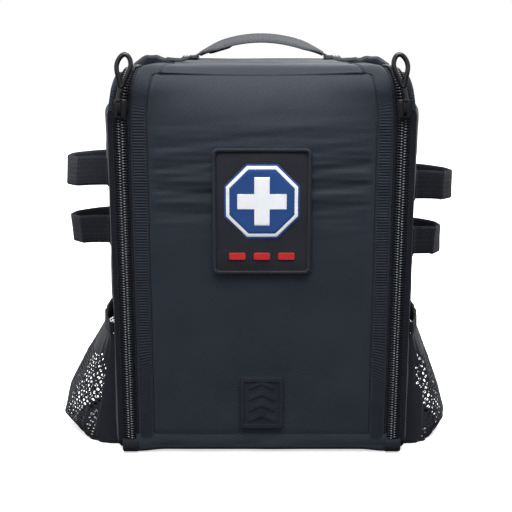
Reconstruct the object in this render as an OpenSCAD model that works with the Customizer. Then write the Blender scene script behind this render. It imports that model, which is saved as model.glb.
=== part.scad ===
// Compact medic rucksack: a soft box with a drop-down front panel held by two side zips.
// X runs across the pack, the front faces -Y, and Z = 0 is the ground under the flat base.

/* [Pack] */
// Height of the pack body, without the grab handle
pack_h = 328; // [300:1:360]
// Depth of the pack body between the front zip tapes and the back panel
pack_d = 140; // [130:1:170]
// Distance between the centre lines of the two zips
zip_span = 225; // [215:1:240]
// How far each side panel bulges outwards at mid depth
side_bulge = 9; // [6:0.5:14]
// Radius of the upper front edge
edge_r = 22; // [18:1:26]
// Thickness of the padded side panels
side_t = 4; // [3:0.5:5]

/* [Front panel] */
// Height of the fabric hinge line above the ground
hinge_h = 11; // [10:0.5:13]
// Thickness of the front fabric
fabric_t = 2; // [1.5:0.1:2.5]
// Distance of the panel seam inside each zip centre line
seam_inset = 21; // [18:0.5:24]
// Width of the ribbed strip beside each zip
strip_w = 13.3; // [11:0.1:14]
// How far the top lip reaches back over the top
lip_reach = 51; // [45:1:55]

/* [Zips] */
// Width of one half of the zip coil
coil_w = 4.8; // [4:0.1:5]
// Thickness of the zip coil
coil_t = 3; // [2.5:0.1:3.2]
// Length of the zip slider
slider_len = 22; // [18:1:24]
// Length of the pull ring
pull_len = 38; // [30:1:42]

/* [Patch and badge] */
// Width of the removable patch
patch_w = 80; // [70:1:90]
// Height of the removable patch
patch_h = 104; // [90:1:110]
// Height of the patch centre above the ground
patch_z = 212; // [200:1:225]
// Width of the rubber badge
badge_w = 36; // [30:1:40]
// Height of the rubber badge
badge_h = 45; // [38:1:48]
// Height of the badge centre above the ground
badge_z = 46.5; // [42:0.5:55]

/* [Webbing and pockets] */
// Width of the webbing
webbing_w = 25; // [20:1:30]
// Thickness of the webbing loops
webbing_t = 2.4; // [2:0.1:3]
// Span of the grab handle between its two ends
handle_span = 112; // [100:1:120]
// Rise of the grab handle
handle_rise = 15; // [12:1:18]
// Height of the mesh pockets' upper edge
pocket_h = 110; // [90:1:125]
// How far the left mesh pocket stands out
pocket_reach_left = 50; // [36:1:52]
// How far the right mesh pocket stands out
pocket_reach_right = 38; // [36:1:52]

/* [Harness] */
// Width of the padded shoulder straps
strap_w = 58; // [50:1:64]
// Thickness of the padded shoulder straps
strap_t = 10; // [8:0.5:11]
// Thickness of the back pads
pad_t = 12; // [10:0.5:13]

/* [Hidden] */
$fn = 64;
eps = 0.01;
zip_x = zip_span / 2;
front_y = -pack_d / 2;
back_y = pack_d / 2;
rear_r = 12;
base_r = 10;
wall = 3;
fit_gap = 0.4;

// Side panels: a sheet bent to a large radius
side_x = zip_x + 10.5;
side_r = (back_y * back_y + side_bulge * side_bulge) / (2 * side_bulge);
side_mid_x = side_x + side_bulge;
side_axis_x = side_mid_x - side_r;
side_front_y = front_y + 0.6;

// Crown: the narrower, rounded top of the pack above the side panels
crown_z = 296;
crown_r = 24;
crown_x = side_x - 1.2;

// Front panel stack, from the outside inwards
skin_y = front_y - fabric_t;
seam_x = zip_x - seam_inset;
arc_y = skin_y + edge_r;
arc_z = pack_h - edge_r;
lip_y = skin_y + lip_reach;
hinge_y = skin_y - 0.5;
panel_z0 = hinge_h + 2;
foam_t = 3;
foam_z0 = panel_z0 + 9;

// Zips
tape_t = 0.8;
tape_y = side_front_y - tape_t;
coil_y = tape_y - coil_t;
coil_gap = 0.2;
zip_end_angle = 60;
slider_z1 = arc_z;
slider_z0 = slider_z1 - slider_len;
slider_half = 5.8;
slider_plate = 1.8;
slider_y = coil_y - fit_gap - slider_plate;
park_x = zip_x + slider_half + 0.6;
inner_coil_top = slider_z0 - 22;
pin_r = 1;
pin_y = slider_y - 3;
pin_z = slider_z1 - 4;
ear_r = 2.5;
ear_gap = 5;
ear_t = 1.4;
ring_w = 11;
ring_t = 2.4;
ring_bar = 2.4;

// Patch
field_t = 0.8;
patch_back_y = skin_y - field_t - 0.05;
patch_t = 2.2;
border_w = 3.2;

// Grab handle
handle_y = 50;
handle_z = pack_h + 3.2;
handle_lean = 15;
handle_t = 3;
handle_r = (pow(handle_span / 2, 2) + pow(handle_rise, 2)) / (2 * handle_rise);

// Harness
strap_axis_y = back_y + 9;
strap_axis_z = 298;
strap_x = 52;
strap_y0 = back_y + pad_t + 2;
strap_z0 = 92;
lock_h = 24;

// ---------- helpers ----------

// Extrudes a (Y, Z) outline along X
module along_x(x0, x1) {
    translate([x0, 0, 0])
        rotate([90, 0, 90])
            linear_extrude(x1 - x0)
                children();
}

// Extrudes an (X, Z) outline along Y
module along_y(y0, y1) {
    translate([0, y1, 0])
        rotate([90, 0, 0])
            linear_extrude(y1 - y0)
                children();
}

// A rectangle with one radius at its four corners
module round_rect(x0, x1, y0, y1, r) {
    translate([x0 + r, y0])
        square([x1 - x0 - 2 * r, y1 - y0]);
    translate([x0, y0 + r])
        square([x1 - x0, y1 - y0 - 2 * r]);
    for (x = [x0 + r, x1 - r], y = [y0 + r, y1 - r])
        translate([x, y])
            circle(r);
}

// The pack's side outline in (Y, Z), with its front at y0: a lower shelf under the panel's lip,
// then the full height behind it, drawn in by inset
module pack_outline(y0, z0, inset = 0) {
    shelf_r = arc_y - y0;
    rear_y = lip_y + 0.5 + inset;
    z1 = pack_h - inset;
    translate([y0, z0 + base_r])
        square([back_y - y0, arc_z - z0 - base_r]);
    translate([y0 + base_r, z0])
        square([back_y - y0 - 2 * base_r, base_r + 1]);
    translate([arc_y, arc_z - 1])
        square([rear_y + 1 - arc_y, shelf_r + 1]);
    translate([rear_y, arc_z - 1])
        square([back_y - rear_r - rear_y, z1 - arc_z + 1]);
    translate([rear_y, arc_z - 1])
        square([back_y - rear_y, z1 - rear_r - arc_z + 1]);
    translate([arc_y, arc_z])
        circle(shelf_r);
    translate([back_y - rear_r, z1 - rear_r])
        circle(rear_r);
    for (y = [y0 + base_r, back_y - base_r])
        translate([y, z0 + base_r])
            circle(base_r);
}

// A band that runs straight up at y and then over the upper front edge to an angle
module edge_band(y, t, z0, angle) {
    band_r = arc_y - y;
    translate([y, z0])
        square([t, arc_z - z0]);
    translate([arc_y, arc_z])
        intersection() {
            difference() {
                circle(band_r);
                circle(band_r - t);
            }
            polygon([
                [0, 0], [-60, 0], [-60, 60 * tan(angle / 2)],
                [-60 * cos(angle), 60 * sin(angle)]
            ]);
        }
}

// Puts a part that is drawn for the right side (+X) on either side
module on_side(side) {
    scale_x = side > 0 ? 0 : 1;
    mirror([scale_x, 0, 0])
        children();
}

// The solid cylinder whose surface is the outside of a side panel, for the right side
module side_drum(extra = 0) {
    translate([side_axis_x, 0, -50])
        cylinder(r = side_r + extra, h = pack_h + 100, $fn = 96);
}

// Keeps the part of its children that lies between the two side panels
module between_sides() {
    intersection() {
        children();
        side_drum(-side_t - 0.05);
        mirror([1, 0, 0])
            side_drum(-side_t - 0.05);
    }
}

// Front outline of the pack's rounded crown in (X, Z), drawn in by inset
module crown_outline(inset) {
    w = crown_x - inset;
    r = crown_r - inset;
    z = pack_h - crown_r;
    translate([-w, crown_z - 1])
        square([2 * w, z - crown_z + 1]);
    translate([-w + r, crown_z - 1])
        square([2 * (w - r), z - crown_z + 1 + r]);
    for (x = [-w + r, w - r])
        translate([x, z])
            circle(r);
}

// ---------- pack body ----------

module back_panel() {
    color("#23262e")
        between_sides()
            translate([-150, back_y - wall, wall + 0.5])
                cube([300, wall, crown_z - wall - 0.6]);
}

module bottom_panel() {
    color("#22242c")
        between_sides()
            along_x(-150, 150)
                intersection() {
                    difference() {
                        pack_outline(front_y, 0);
                        translate([front_y + wall, wall])
                            round_rect(0, pack_d, 0, 60, base_r - wall);
                    }
                    translate([front_y, 0])
                        union() {
                            square([pack_d, wall]);
                            square([base_r, base_r - 0.5]);
                        }
                }
}

// The pack's crown as a solid, drawn in by inset
module crown_solid(inset) {
    intersection() {
        along_y(side_front_y + inset, back_y - inset)
            crown_outline(inset);
        along_x(-crown_x, crown_x)
            pack_outline(side_front_y + inset, 0, inset);
    }
}

// Crown of the pack: the rear of the top, the two front corners and a ledge over each side panel
module top_panel() {
    color("#3a3f4b") {
        difference() {
            crown_solid(0);
            crown_solid(wall);
            translate([-200, -200, -1])
                cube([400, 400, crown_z + 1]);
            translate([-zip_x - coil_gap, -200, crown_z - 1])
                cube([2 * (zip_x + coil_gap), 200 + lip_y + 0.5, 60]);
            translate([-park_x, -200, crown_z - 1])
                cube([2 * park_x, 200 + side_front_y + wall + 0.5, slider_z1 - crown_z + 2]);
        }
        for (side = [-1, 1])
            on_side(side)
                intersection() {
                    translate([crown_x + 0.05, side_front_y, crown_z])
                        cube([20, pack_d - 0.6, wall]);
                    side_drum();
                }
    }
}

module side_panel(side) {
    color("#262932")
        on_side(side)
            intersection() {
                along_x(100, 150)
                    intersection() {
                        pack_outline(side_front_y, 0.3);
                        translate([front_y - 1, 0])
                            square([pack_d + 2, crown_z - 0.05]);
                    }
                difference() {
                    side_drum();
                    side_drum(-side_t);
                }
            }
}

module frame_sheet() {
    color("#15161a")
        along_y(back_y - wall - 2.5, back_y - wall)
            round_rect(-110, 110, 10, 300, 14);
}

module base_board() {
    color("#15161a")
        translate([0, 0, wall])
            linear_extrude(2)
                round_rect(-114, 114, front_y + 12, back_y - 8, 12);
}

module back_pad(side) {
    color("#1d1f26")
        on_side(side)
            along_y(back_y, back_y + pad_t)
                round_rect(14, 100, 44, 280, 16);
}

module back_pocket() {
    color("#2b2e36")
        along_y(back_y - wall - 4, back_y - wall - 2.5)
            round_rect(-96, 96, 26, 150, 8);
}

// ---------- zips ----------

// Bounds the zip where it turns over the rounded upper corner of the pack
module zip_corner(inset) {
    along_y(-100, 0)
        union() {
            crown_outline(inset);
            translate([-crown_x, 0])
                square([2 * crown_x, crown_z]);
        }
}

module outer_tape(side) {
    color("#1c1e25")
        on_side(side)
            intersection() {
                along_x(zip_x + coil_gap, crown_x)
                    edge_band(tape_y, tape_t, 9.5, 72);
                zip_corner(0);
            }
}

module outer_coil(side) {
    color("#101114")
        on_side(side)
            intersection() {
                along_x(zip_x + coil_gap, zip_x + coil_gap + coil_w)
                    difference() {
                        edge_band(coil_y, coil_t + tape_t, 9.5, zip_end_angle);
                        edge_band(tape_y, tape_t + 1, 9.4, 90);
                    }
                zip_corner(-3);
            }
}

module inner_tape(side) {
    color("#1c1e25")
        on_side(side) {
            along_x(seam_x + 4, zip_x - coil_gap - coil_w - 1.9)
                edge_band(tape_y, tape_t, panel_z0 + 1, 88);
            translate([zip_x - 7 - eps, tape_y, panel_z0 + 1])
                cube([7 - coil_gap + eps, tape_t, inner_coil_top - panel_z0 - 1]);
        }
}

module inner_coil(side) {
    color("#101114")
        on_side(side)
            translate([zip_x - coil_gap - coil_w, coil_y, panel_z0 + 1])
                cube([coil_w, coil_t, inner_coil_top - panel_z0 - 1]);
}

// Folded fabric tab that covers the lower end of a zip
module zip_tab_lower(side) {
    color("#1b1d23")
        on_side(side)
            along_x(zip_x - 6, zip_x + 6)
                difference() {
                    round_rect(coil_y - 1.6, front_y + 14, 0.3, 9, 4);
                    translate([front_y - 0.1, 3])
                        square([30, 20]);
                    pack_outline(front_y - 0.1, -0.1);
                }
}

// Loose end of the zip tape, standing up behind the top lip
module zip_tab_upper(side) {
    tab_y = lip_y + 3;
    tab_z = pack_h;
    color("#2a2d35")
        on_side(side)
            along_y(tab_y, tab_y + 11)
                difference() {
                    polygon([
                        [66, tab_z], [78, tab_z + 8.5], [90, tab_z + 12.5], [97, tab_z + 9],
                        [102, tab_z]
                    ]);
                    polygon([
                        [74, tab_z - 1], [80, tab_z + 5], [89, tab_z + 9], [94, tab_z + 6],
                        [97, tab_z - 1]
                    ]);
                }
}

module slider(side) {
    color("#0c0d10")
        on_side(side)
            difference() {
                union() {
                    along_y(slider_y, slider_y + slider_plate)
                        round_rect(zip_x - slider_half, zip_x + slider_half, slider_z0, slider_z1, 3);
                    along_y(side_front_y + fit_gap, side_front_y + fit_gap + 1.6)
                        round_rect(zip_x - slider_half, zip_x + slider_half, slider_z0, slider_z1, 3);
                    translate([zip_x - 3.4, slider_y + eps, slider_z0 + 2])
                        cube([3, side_front_y - slider_y + 1, slider_len - 4]);
                    for (dx = [-ear_gap / 2 - ear_t, ear_gap / 2])
                        along_x(zip_x + dx, zip_x + dx + ear_t) {
                            translate([pin_y, pin_z])
                                circle(ear_r);
                            translate([pin_y, pin_z - ear_r])
                                square([slider_y - pin_y + 0.5, 2 * ear_r]);
                        }
                    translate([zip_x - ear_gap / 2 - 0.5, pin_y, pin_z])
                        rotate([0, 90, 0])
                            cylinder(r = pin_r, h = ear_gap + 1);
                }
            }
}

module pull(side) {
    eye_w = ear_gap - 0.4;
    ring_z0 = pin_z + ear_r + 2;
    ring_z1 = pin_z + pull_len;
    color("#0e0f12")
        on_side(side)
            difference() {
                union() {
                    translate([zip_x - eye_w / 2, pin_y, pin_z])
                        rotate([0, 90, 0])
                            cylinder(r = 2.3, h = eye_w);
                    translate([zip_x - eye_w / 2, pin_y - ring_t / 2, pin_z])
                        cube([eye_w, ring_t, ring_z0 - pin_z + 1]);
                    along_y(pin_y - ring_t / 2, pin_y + ring_t / 2)
                        difference() {
                            round_rect(zip_x - ring_w / 2, zip_x + ring_w / 2, ring_z0, ring_z1, 5);
                            round_rect(
                                zip_x - ring_w / 2 + ring_bar, zip_x + ring_w / 2 - ring_bar,
                                ring_z0 + ring_bar + 0.6, ring_z1 - ring_bar, 2.8
                            );
                        }
                }
                translate([zip_x - eye_w, pin_y, pin_z])
                    rotate([0, 90, 0])
                        cylinder(r = pin_r + 0.08, h = 2 * eye_w);
            }
}

// ---------- webbing loops and pockets ----------

// Outline of a standing loop in (X, Y), with its legs cut off at the side panel
module loop_outline(reach, inset) {
    x0 = side_mid_x - 8;
    x1 = side_mid_x + reach - inset;
    polygon([
        [x0, -34 + inset], [x1 - 9, -34 + inset], [x1, -22], [x1 - 2, -10 - inset / 2],
        [x1 - 9, -4 - inset], [x0, -4 - inset]
    ]);
}

module webbing_loop(side, z0, reach) {
    color("#1f2128")
        on_side(side)
            translate([0, 0, z0])
                difference() {
                    linear_extrude(webbing_w)
                        difference() {
                            loop_outline(reach, 0);
                            loop_outline(reach, webbing_t);
                        }
                    translate([0, 0, -z0])
                        side_drum(0.05);
                }
}

// Plan outline of a mesh pocket in (X, Y)
module pocket_plan(reach, inset) {
    chord = 54;
    depth = reach + 4;
    plan_r = (chord * chord + depth * depth) / (2 * depth);
    intersection() {
        translate([side_mid_x + reach - plan_r, 0])
            circle(plan_r - inset, $fn = 96);
        translate([side_mid_x - 12, -60])
            square([reach + 20, 120]);
    }
}

// Front profile of a mesh pocket in (X, Z): wide at the foot, drawn in at the mouth
module pocket_profile(reach, inset, top) {
    x0 = side_mid_x - 12;
    x = side_mid_x - inset;
    polygon([
        [x0, 0.3 + inset], [x + 0.74 * reach, 0.3 + inset], [x + 0.92 * reach, 5 + inset / 2],
        [x + reach, 15], [x + 0.85 * reach, 36], [x + 0.55 * reach, 70], [x + 10, pocket_h - 8],
        [x + 9, top], [x0, top]
    ]);
}

module pocket_solid(reach, inset, top) {
    intersection() {
        along_y(-60, 60)
            pocket_profile(reach, inset, top);
        linear_extrude(top + 1)
            pocket_plan(reach, inset);
    }
}

module mesh_pocket(side, reach) {
    color("#202229")
        on_side(side)
            difference() {
                pocket_solid(reach, 0, pocket_h - 6);
                pocket_solid(reach, 1.6, pocket_h + 5);
                side_drum(0.05);
            }
}

module pocket_binding(side, reach) {
    color("#17181d")
        on_side(side)
            difference() {
                intersection() {
                    pocket_solid(reach + 1, -0.8, pocket_h + 2);
                    translate([0, -100, pocket_h - 6 + eps])
                        cube([400, 200, 8]);
                }
                pocket_solid(reach, 1.6, pocket_h + 5);
                side_drum(0.05);
            }
}

// ---------- handle and harness ----------

// Sewn end of the grab handle, just outside its fold
module handle_anchor(side) {
    color("#15161a")
        on_side(side)
            translate([handle_span / 2 + 1.2, handle_y - webbing_w / 2, pack_h])
                cube([13, webbing_w - 8, 1.4]);
}

module grab_handle() {
    half = handle_span / 2;
    color("#4a4c52")
        translate([0, handle_y, handle_z])
            rotate([handle_lean, 0, 0])
                intersection() {
                    translate([0, webbing_w / 2, handle_rise - handle_r])
                        rotate([90, 0, 0])
                            difference() {
                                cylinder(r = handle_r + handle_t / 2, h = webbing_w, $fn = 96);
                                translate([0, 0, -1])
                                    cylinder(r = handle_r - handle_t / 2, h = webbing_w + 2, $fn = 96);
                            }
                    translate([0, 0, -1])
                        linear_extrude(60)
                            polygon([
                                [-half, -2.5], [-0.68 * half, -webbing_w / 2],
                                [0.68 * half, -webbing_w / 2], [half, -2.5],
                                [half, 2.5], [0.68 * half, webbing_w / 2],
                                [-0.68 * half, webbing_w / 2], [-half, 2.5]
                            ]);
                }
}

module strap_yoke() {
    color("#1b1d23")
        along_y(back_y, back_y + 3)
            round_rect(-88, 88, 286, 314, 6);
}

module strap_wing(side) {
    color("#1b1d23")
        on_side(side)
            along_y(back_y, back_y + 3)
                polygon([[104, 8], [117, 8], [117, 48], [104, 30]]);
}

// Lower webbing from the wing at the base up to the ladder lock
module strap_webbing(side) {
    y0 = back_y + 3.1;
    y1 = strap_y0 + 2;
    color("#17181c")
        on_side(side)
            intersection() {
                along_x(strap_x - 20, 130)
                    polygon([
                        [y0, 12], [y0 + 2, 11], [y1, 42], [y1 + 2.5, 62], [y1 + 0.5, 62],
                        [y1 - 2, 43]
                    ]);
                along_y(60, 110)
                    polygon([
                        [strap_x - 12, 62], [94, 11], [116, 11], [116, 22], [strap_x + 14, 62]
                    ]);
            }
}

// Front outline of a padded shoulder strap in (X, Z)
module strap_outline(inset) {
    w = strap_w / 2 - inset;
    polygon([
        [strap_x - w + 4, 304], [strap_x + w - 4, 304], [strap_x + w + 4, 250],
        [strap_x + w + 8, 190], [strap_x + w + 2, 140], [strap_x + 16, strap_z0 + inset],
        [strap_x - 12, strap_z0 + inset], [strap_x - w - 2, 140], [strap_x - w, 190],
        [strap_x - w + 2, 250]
    ]);
}

module shoulder_strap(side) {
    color("#1e2027")
        on_side(side)
            union() {
                translate([strap_x - strap_w / 2 + 4, strap_axis_y, strap_axis_z])
                    rotate([0, 90, 0])
                        cylinder(r = 3.5, h = strap_w - 8);
                intersection() {
                    along_x(strap_x - 50, strap_x + 60)
                        polygon([
                            [strap_axis_y, strap_axis_z + 2], [strap_axis_y + 2, strap_axis_z + 1],
                            [strap_y0 + strap_t, 276], [strap_y0 + strap_t, strap_z0],
                            [strap_y0, strap_z0], [strap_y0, 282],
                            [strap_axis_y - 2, strap_axis_z - 1]
                        ]);
                    along_y(60, 120)
                        strap_outline(0);
                }
            }
}

module ladder_lock(side) {
    color("#0d0e11")
        on_side(side)
            along_y(strap_y0 + 2, strap_y0 + 7)
                difference() {
                    round_rect(strap_x - 14, strap_x + 18, strap_z0 - lock_h, strap_z0 - 0.05, 3);
                    for (z = [strap_z0 - 8, strap_z0 - 14.5, strap_z0 - 21])
                        translate([strap_x - 11, z])
                            square([26, 4.2]);
                }
}

module strap_tail(side) {
    color("#17181c")
        on_side(side)
            translate([strap_x - 10.5, strap_y0 + 7.1, 14])
                cube([webbing_w, 2, strap_z0 - 16]);
}

// ---------- front panel ----------

module front_panel() {
    color("#2b2f3a")
        along_x(-seam_x, seam_x) {
            edge_band(skin_y, fabric_t, panel_z0, 90);
            translate([arc_y, pack_h - fabric_t])
                square([lip_y - arc_y, fabric_t]);
        }
}

module panel_stiffener() {
    color("#3a3d45")
        along_y(front_y, front_y + foam_t)
            round_rect(-seam_x + 4, seam_x - 4, foam_z0, arc_z - 2, 8);
}

module edge_strip(side) {
    color("#20232b")
        on_side(side)
            along_x(seam_x + 0.1, seam_x + 0.1 + strip_w)
                edge_band(skin_y, fabric_t - 0.3, panel_z0, 88);
}

module loop_field() {
    color("#1d2028")
        along_y(skin_y - field_t, skin_y)
            round_rect(-38, 38, patch_z - 50, patch_z + 50, 2);
}

module badge() {
    frame_w = 3;
    rib_count = 4;
    rib_pitch = (badge_h - 2 * frame_w) / rib_count;
    color("#20232b")
        translate([0, 0, badge_z]) {
            along_y(skin_y - 1, skin_y)
                round_rect(-badge_w / 2, badge_w / 2, -badge_h / 2, badge_h / 2, 2);
            along_y(skin_y - 2, skin_y - 1)
                difference() {
                    round_rect(-badge_w / 2, badge_w / 2, -badge_h / 2, badge_h / 2, 2);
                    round_rect(
                        -badge_w / 2 + frame_w, badge_w / 2 - frame_w,
                        -badge_h / 2 + frame_w, badge_h / 2 - frame_w, 1
                    );
                }
            for (i = [0:rib_count - 1])
                along_y(skin_y - 1.8, skin_y - 1)
                    translate([0, (i - rib_count / 2 + 0.25) * rib_pitch])
                        polygon([
                            [-11, 0], [0, 5], [11, 0], [11, 3.4], [0, 8.4], [-11, 3.4]
                        ]);
        }
}

module door_pocket() {
    color("#2b2e36")
        along_y(front_y + foam_t, front_y + foam_t + 1.5)
            round_rect(-seam_x + 12, seam_x - 12, 40, 180, 8);
}

// ---------- removable patch ----------

module patch_face() {
    color("#23262c")
        along_y(patch_back_y - patch_t, patch_back_y)
            round_rect(
                -patch_w / 2 + border_w, patch_w / 2 - border_w,
                patch_z - patch_h / 2 + border_w, patch_z + patch_h / 2 - border_w, 1
            );
}

module patch_border() {
    color("#1a1c21")
        along_y(patch_back_y - patch_t - 0.6, patch_back_y)
            difference() {
                round_rect(
                    -patch_w / 2, patch_w / 2, patch_z - patch_h / 2, patch_z + patch_h / 2, 3
                );
                round_rect(
                    -patch_w / 2 + border_w, patch_w / 2 - border_w,
                    patch_z - patch_h / 2 + border_w, patch_z + patch_h / 2 - border_w, 1
                );
            }
}

// A plain octagon with a plain cross, and three bars under it
module patch_emblem() {
    emblem_y = patch_back_y - patch_t;
    color("#1d4f9e")
        along_y(emblem_y - 0.5, emblem_y) {
            translate([0, patch_z + 9])
                rotate(22.5)
                    circle(33, $fn = 8);
            for (dx = [-20, 0, 20])
                translate([dx - 7, patch_z - 40])
                    square([14, 7]);
        }
}

// ---------- assembly ----------

back_panel();
bottom_panel();
top_panel();
side_panel(-1);  // side_panel_left
side_panel(1);  // side_panel_right
frame_sheet();
base_board();
back_pad(-1);  // back_pad_left
back_pad(1);  // back_pad_right
back_pocket();
outer_tape(-1);  // outer_tape_left
outer_tape(1);  // outer_tape_right
outer_coil(-1);  // outer_coil_left
outer_coil(1);  // outer_coil_right
zip_tab_lower(-1);  // zip_tab_lower_left
zip_tab_lower(1);  // zip_tab_lower_right
zip_tab_upper(-1);  // zip_tab_upper_left
zip_tab_upper(1);  // zip_tab_upper_right
webbing_loop(-1, 228, 33);  // loop_upper_left
webbing_loop(-1, 178, 31);  // loop_lower_left
webbing_loop(1, 216, 30);  // loop_upper_right
webbing_loop(1, 168, 22);  // loop_lower_right
mesh_pocket(-1, pocket_reach_left);  // mesh_pocket_left
mesh_pocket(1, pocket_reach_right);  // mesh_pocket_right
pocket_binding(-1, pocket_reach_left);  // pocket_binding_left
pocket_binding(1, pocket_reach_right);  // pocket_binding_right
handle_anchor(-1);  // handle_anchor_left
handle_anchor(1);  // handle_anchor_right
strap_yoke();
strap_wing(-1);  // strap_wing_left
strap_wing(1);  // strap_wing_right
strap_webbing(-1);  // strap_webbing_left
strap_webbing(1);  // strap_webbing_right
front_panel();
panel_stiffener();
edge_strip(-1);  // edge_strip_left
edge_strip(1);  // edge_strip_right
inner_tape(-1);  // inner_tape_left
inner_tape(1);  // inner_tape_right
inner_coil(-1);  // inner_coil_left
inner_coil(1);  // inner_coil_right
loop_field();
badge();
door_pocket();
patch_face();
patch_border();
patch_emblem();
slider(-1);  // slider_left
slider(1);  // slider_right
pull(-1);  // pull_left
pull(1);  // pull_right
grab_handle();
shoulder_strap(-1);  // shoulder_strap_left
shoulder_strap(1);  // shoulder_strap_right
ladder_lock(-1);  // ladder_lock_left
ladder_lock(1);  // ladder_lock_right
strap_tail(-1);  // strap_tail_left
strap_tail(1);  // strap_tail_right
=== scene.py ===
"""Looks of the compact medic rucksack: cloth, zips, mesh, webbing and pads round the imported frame.

Lengths are in millimetres until a mesh is made. X runs across, the front faces -Y and Z is up.
"""

import math

import bmesh
import bpy
import numpy as np
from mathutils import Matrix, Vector


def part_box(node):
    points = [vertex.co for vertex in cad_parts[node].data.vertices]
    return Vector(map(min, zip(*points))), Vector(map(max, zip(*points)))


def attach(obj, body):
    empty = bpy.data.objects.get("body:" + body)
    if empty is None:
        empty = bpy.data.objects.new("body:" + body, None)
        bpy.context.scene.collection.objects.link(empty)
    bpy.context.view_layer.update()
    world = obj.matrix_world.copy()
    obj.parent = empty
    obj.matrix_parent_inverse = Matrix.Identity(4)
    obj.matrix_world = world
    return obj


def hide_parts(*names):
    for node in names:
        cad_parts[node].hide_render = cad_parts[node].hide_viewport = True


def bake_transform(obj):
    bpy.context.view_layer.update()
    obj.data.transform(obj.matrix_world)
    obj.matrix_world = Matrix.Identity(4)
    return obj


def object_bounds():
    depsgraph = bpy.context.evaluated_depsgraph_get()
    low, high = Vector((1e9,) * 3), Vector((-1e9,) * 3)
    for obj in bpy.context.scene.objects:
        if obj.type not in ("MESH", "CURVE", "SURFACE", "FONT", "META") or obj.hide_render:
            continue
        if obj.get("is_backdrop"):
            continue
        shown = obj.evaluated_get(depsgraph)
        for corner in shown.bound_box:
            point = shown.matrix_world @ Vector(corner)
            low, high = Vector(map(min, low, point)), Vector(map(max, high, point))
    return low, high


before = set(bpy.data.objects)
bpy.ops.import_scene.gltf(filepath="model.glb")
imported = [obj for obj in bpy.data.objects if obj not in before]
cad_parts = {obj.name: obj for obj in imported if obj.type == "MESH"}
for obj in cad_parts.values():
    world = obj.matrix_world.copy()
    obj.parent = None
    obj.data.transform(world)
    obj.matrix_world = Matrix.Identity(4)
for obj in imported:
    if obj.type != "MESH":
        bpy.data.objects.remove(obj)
cad_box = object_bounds()

MM = 0.001
PI = math.pi
SIDES = {"left": -1, "right": 1}


# ---------- sizes read from the frame ----------


def low(node):
    return np.array(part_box(node)[0]) / MM


def high(node):
    return np.array(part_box(node)[1]) / MM


FRONT_Y = low("front_panel")[1]
LIP_Y = high("front_panel")[1]
PANEL_Z0 = low("front_panel")[2]
SEAM_X = high("front_panel")[0]
PACK_TOP = high("top_panel")[2]
BACK_Y = high("back_panel")[1]
SIDE_Y = low("side_panel_right")[1]
SIDE_MID = high("side_panel_right")[0]
SHELF_Z = high("side_panel_right")[2]
ZIP_X = (high("inner_coil_right")[0] + low("outer_coil_right")[0]) / 2
TAPE_OUT = high("outer_tape_right")[0] - ZIP_X
ZIP_Z0 = low("outer_tape_right")[2]
EDGE_R = 22.0
REAR_R = 12.0
BASE_R = 10.0
CROWN_R = 24.0
SIDE_BULGE = 9.0
CROWN_X = ZIP_X + TAPE_OUT
ARC_Y = FRONT_Y + EDGE_R
ARC_Z = PACK_TOP - EDGE_R
TOP_S = ARC_Z + EDGE_R * PI / 2
LIP_S = TOP_S + LIP_Y - ARC_Y
SEAM_A = SEAM_X - ZIP_X


# ---------- small maths ----------


def smooth(x, start=0.0, end=1.0):
    u = np.clip((np.asarray(x, float) - start) / (end - start), 0, 1)
    return u * u * (3 - 2 * u)


def bell(x, middle, half):
    """1 at the middle, falling smoothly to 0 at half either side."""
    return 1 - smooth(np.abs(np.asarray(x, float) - middle), 0, half)


def rumple(points, size, seed, waves=9):
    """Smooth unevenness, mostly from -1 to 1, whose lumps are about size across."""
    r = np.random.default_rng(seed)
    total = 0.0
    for _ in range(waves):
        way = r.normal(size=3)
        way *= 2 * PI / (size * r.uniform(0.8, 2.2)) / np.linalg.norm(way)
        total = total + np.sin(points @ way + r.uniform(0, 2 * PI))
    return total / math.sqrt(waves / 2) / 2


def unit(v):
    return v / np.maximum(np.linalg.norm(v, axis=-1, keepdims=True), 1e-9)


def stack(*parts):
    return np.stack(np.broadcast_arrays(*[np.asarray(p, float) for p in parts]), axis=-1)


def along(path):
    """Distance along a path of points."""
    steps = np.linalg.norm(np.diff(path, axis=0), axis=1)
    return np.concatenate([[0], np.cumsum(steps)])


def curve(points, step=1.0):
    """A smooth path through the points, with samples about step apart."""
    p = np.asarray(points, float)
    p = np.concatenate([[2 * p[0] - p[1]], p, [2 * p[-1] - p[-2]]])
    t = np.linspace(0, 1, 24, endpoint=False)[:, None]
    parts = []
    for a, b, c, d in zip(p, p[1:], p[2:], p[3:]):
        square = (2 * a - 5 * b + 4 * c - d) * t**2
        parts.append(0.5 * (2 * b + (c - a) * t + square + (3 * b - a - 3 * c + d) * t**3))
    path = np.concatenate([*parts, p[-2:-1]])
    at = along(path)
    want = np.linspace(0, at[-1], max(3, round(at[-1] / step) + 1))
    return stack(*[np.interp(want, at, path[:, k]) for k in range(3)])


def mirrored(points, side):
    return np.asarray(points, float) * (side, 1, 1)


# ---------- mesh making ----------


def box_uv(mesh, corner_of, points):
    """Cloth coordinates in millimetres, looked at along each face's main direction."""
    normal = np.zeros(len(mesh.polygons) * 3, np.float32)
    mesh.polygons.foreach_get("normal", normal)
    count = np.zeros(len(mesh.polygons), np.int32)
    mesh.polygons.foreach_get("loop_total", count)
    main = np.abs(normal.reshape(-1, 3)).argmax(1)
    main = np.repeat(main, count)
    p = points[corner_of]
    u = np.where(main == 0, p[:, 1], p[:, 0])
    v = np.where(main == 2, p[:, 1], p[:, 2])
    return stack(u, v)


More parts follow.
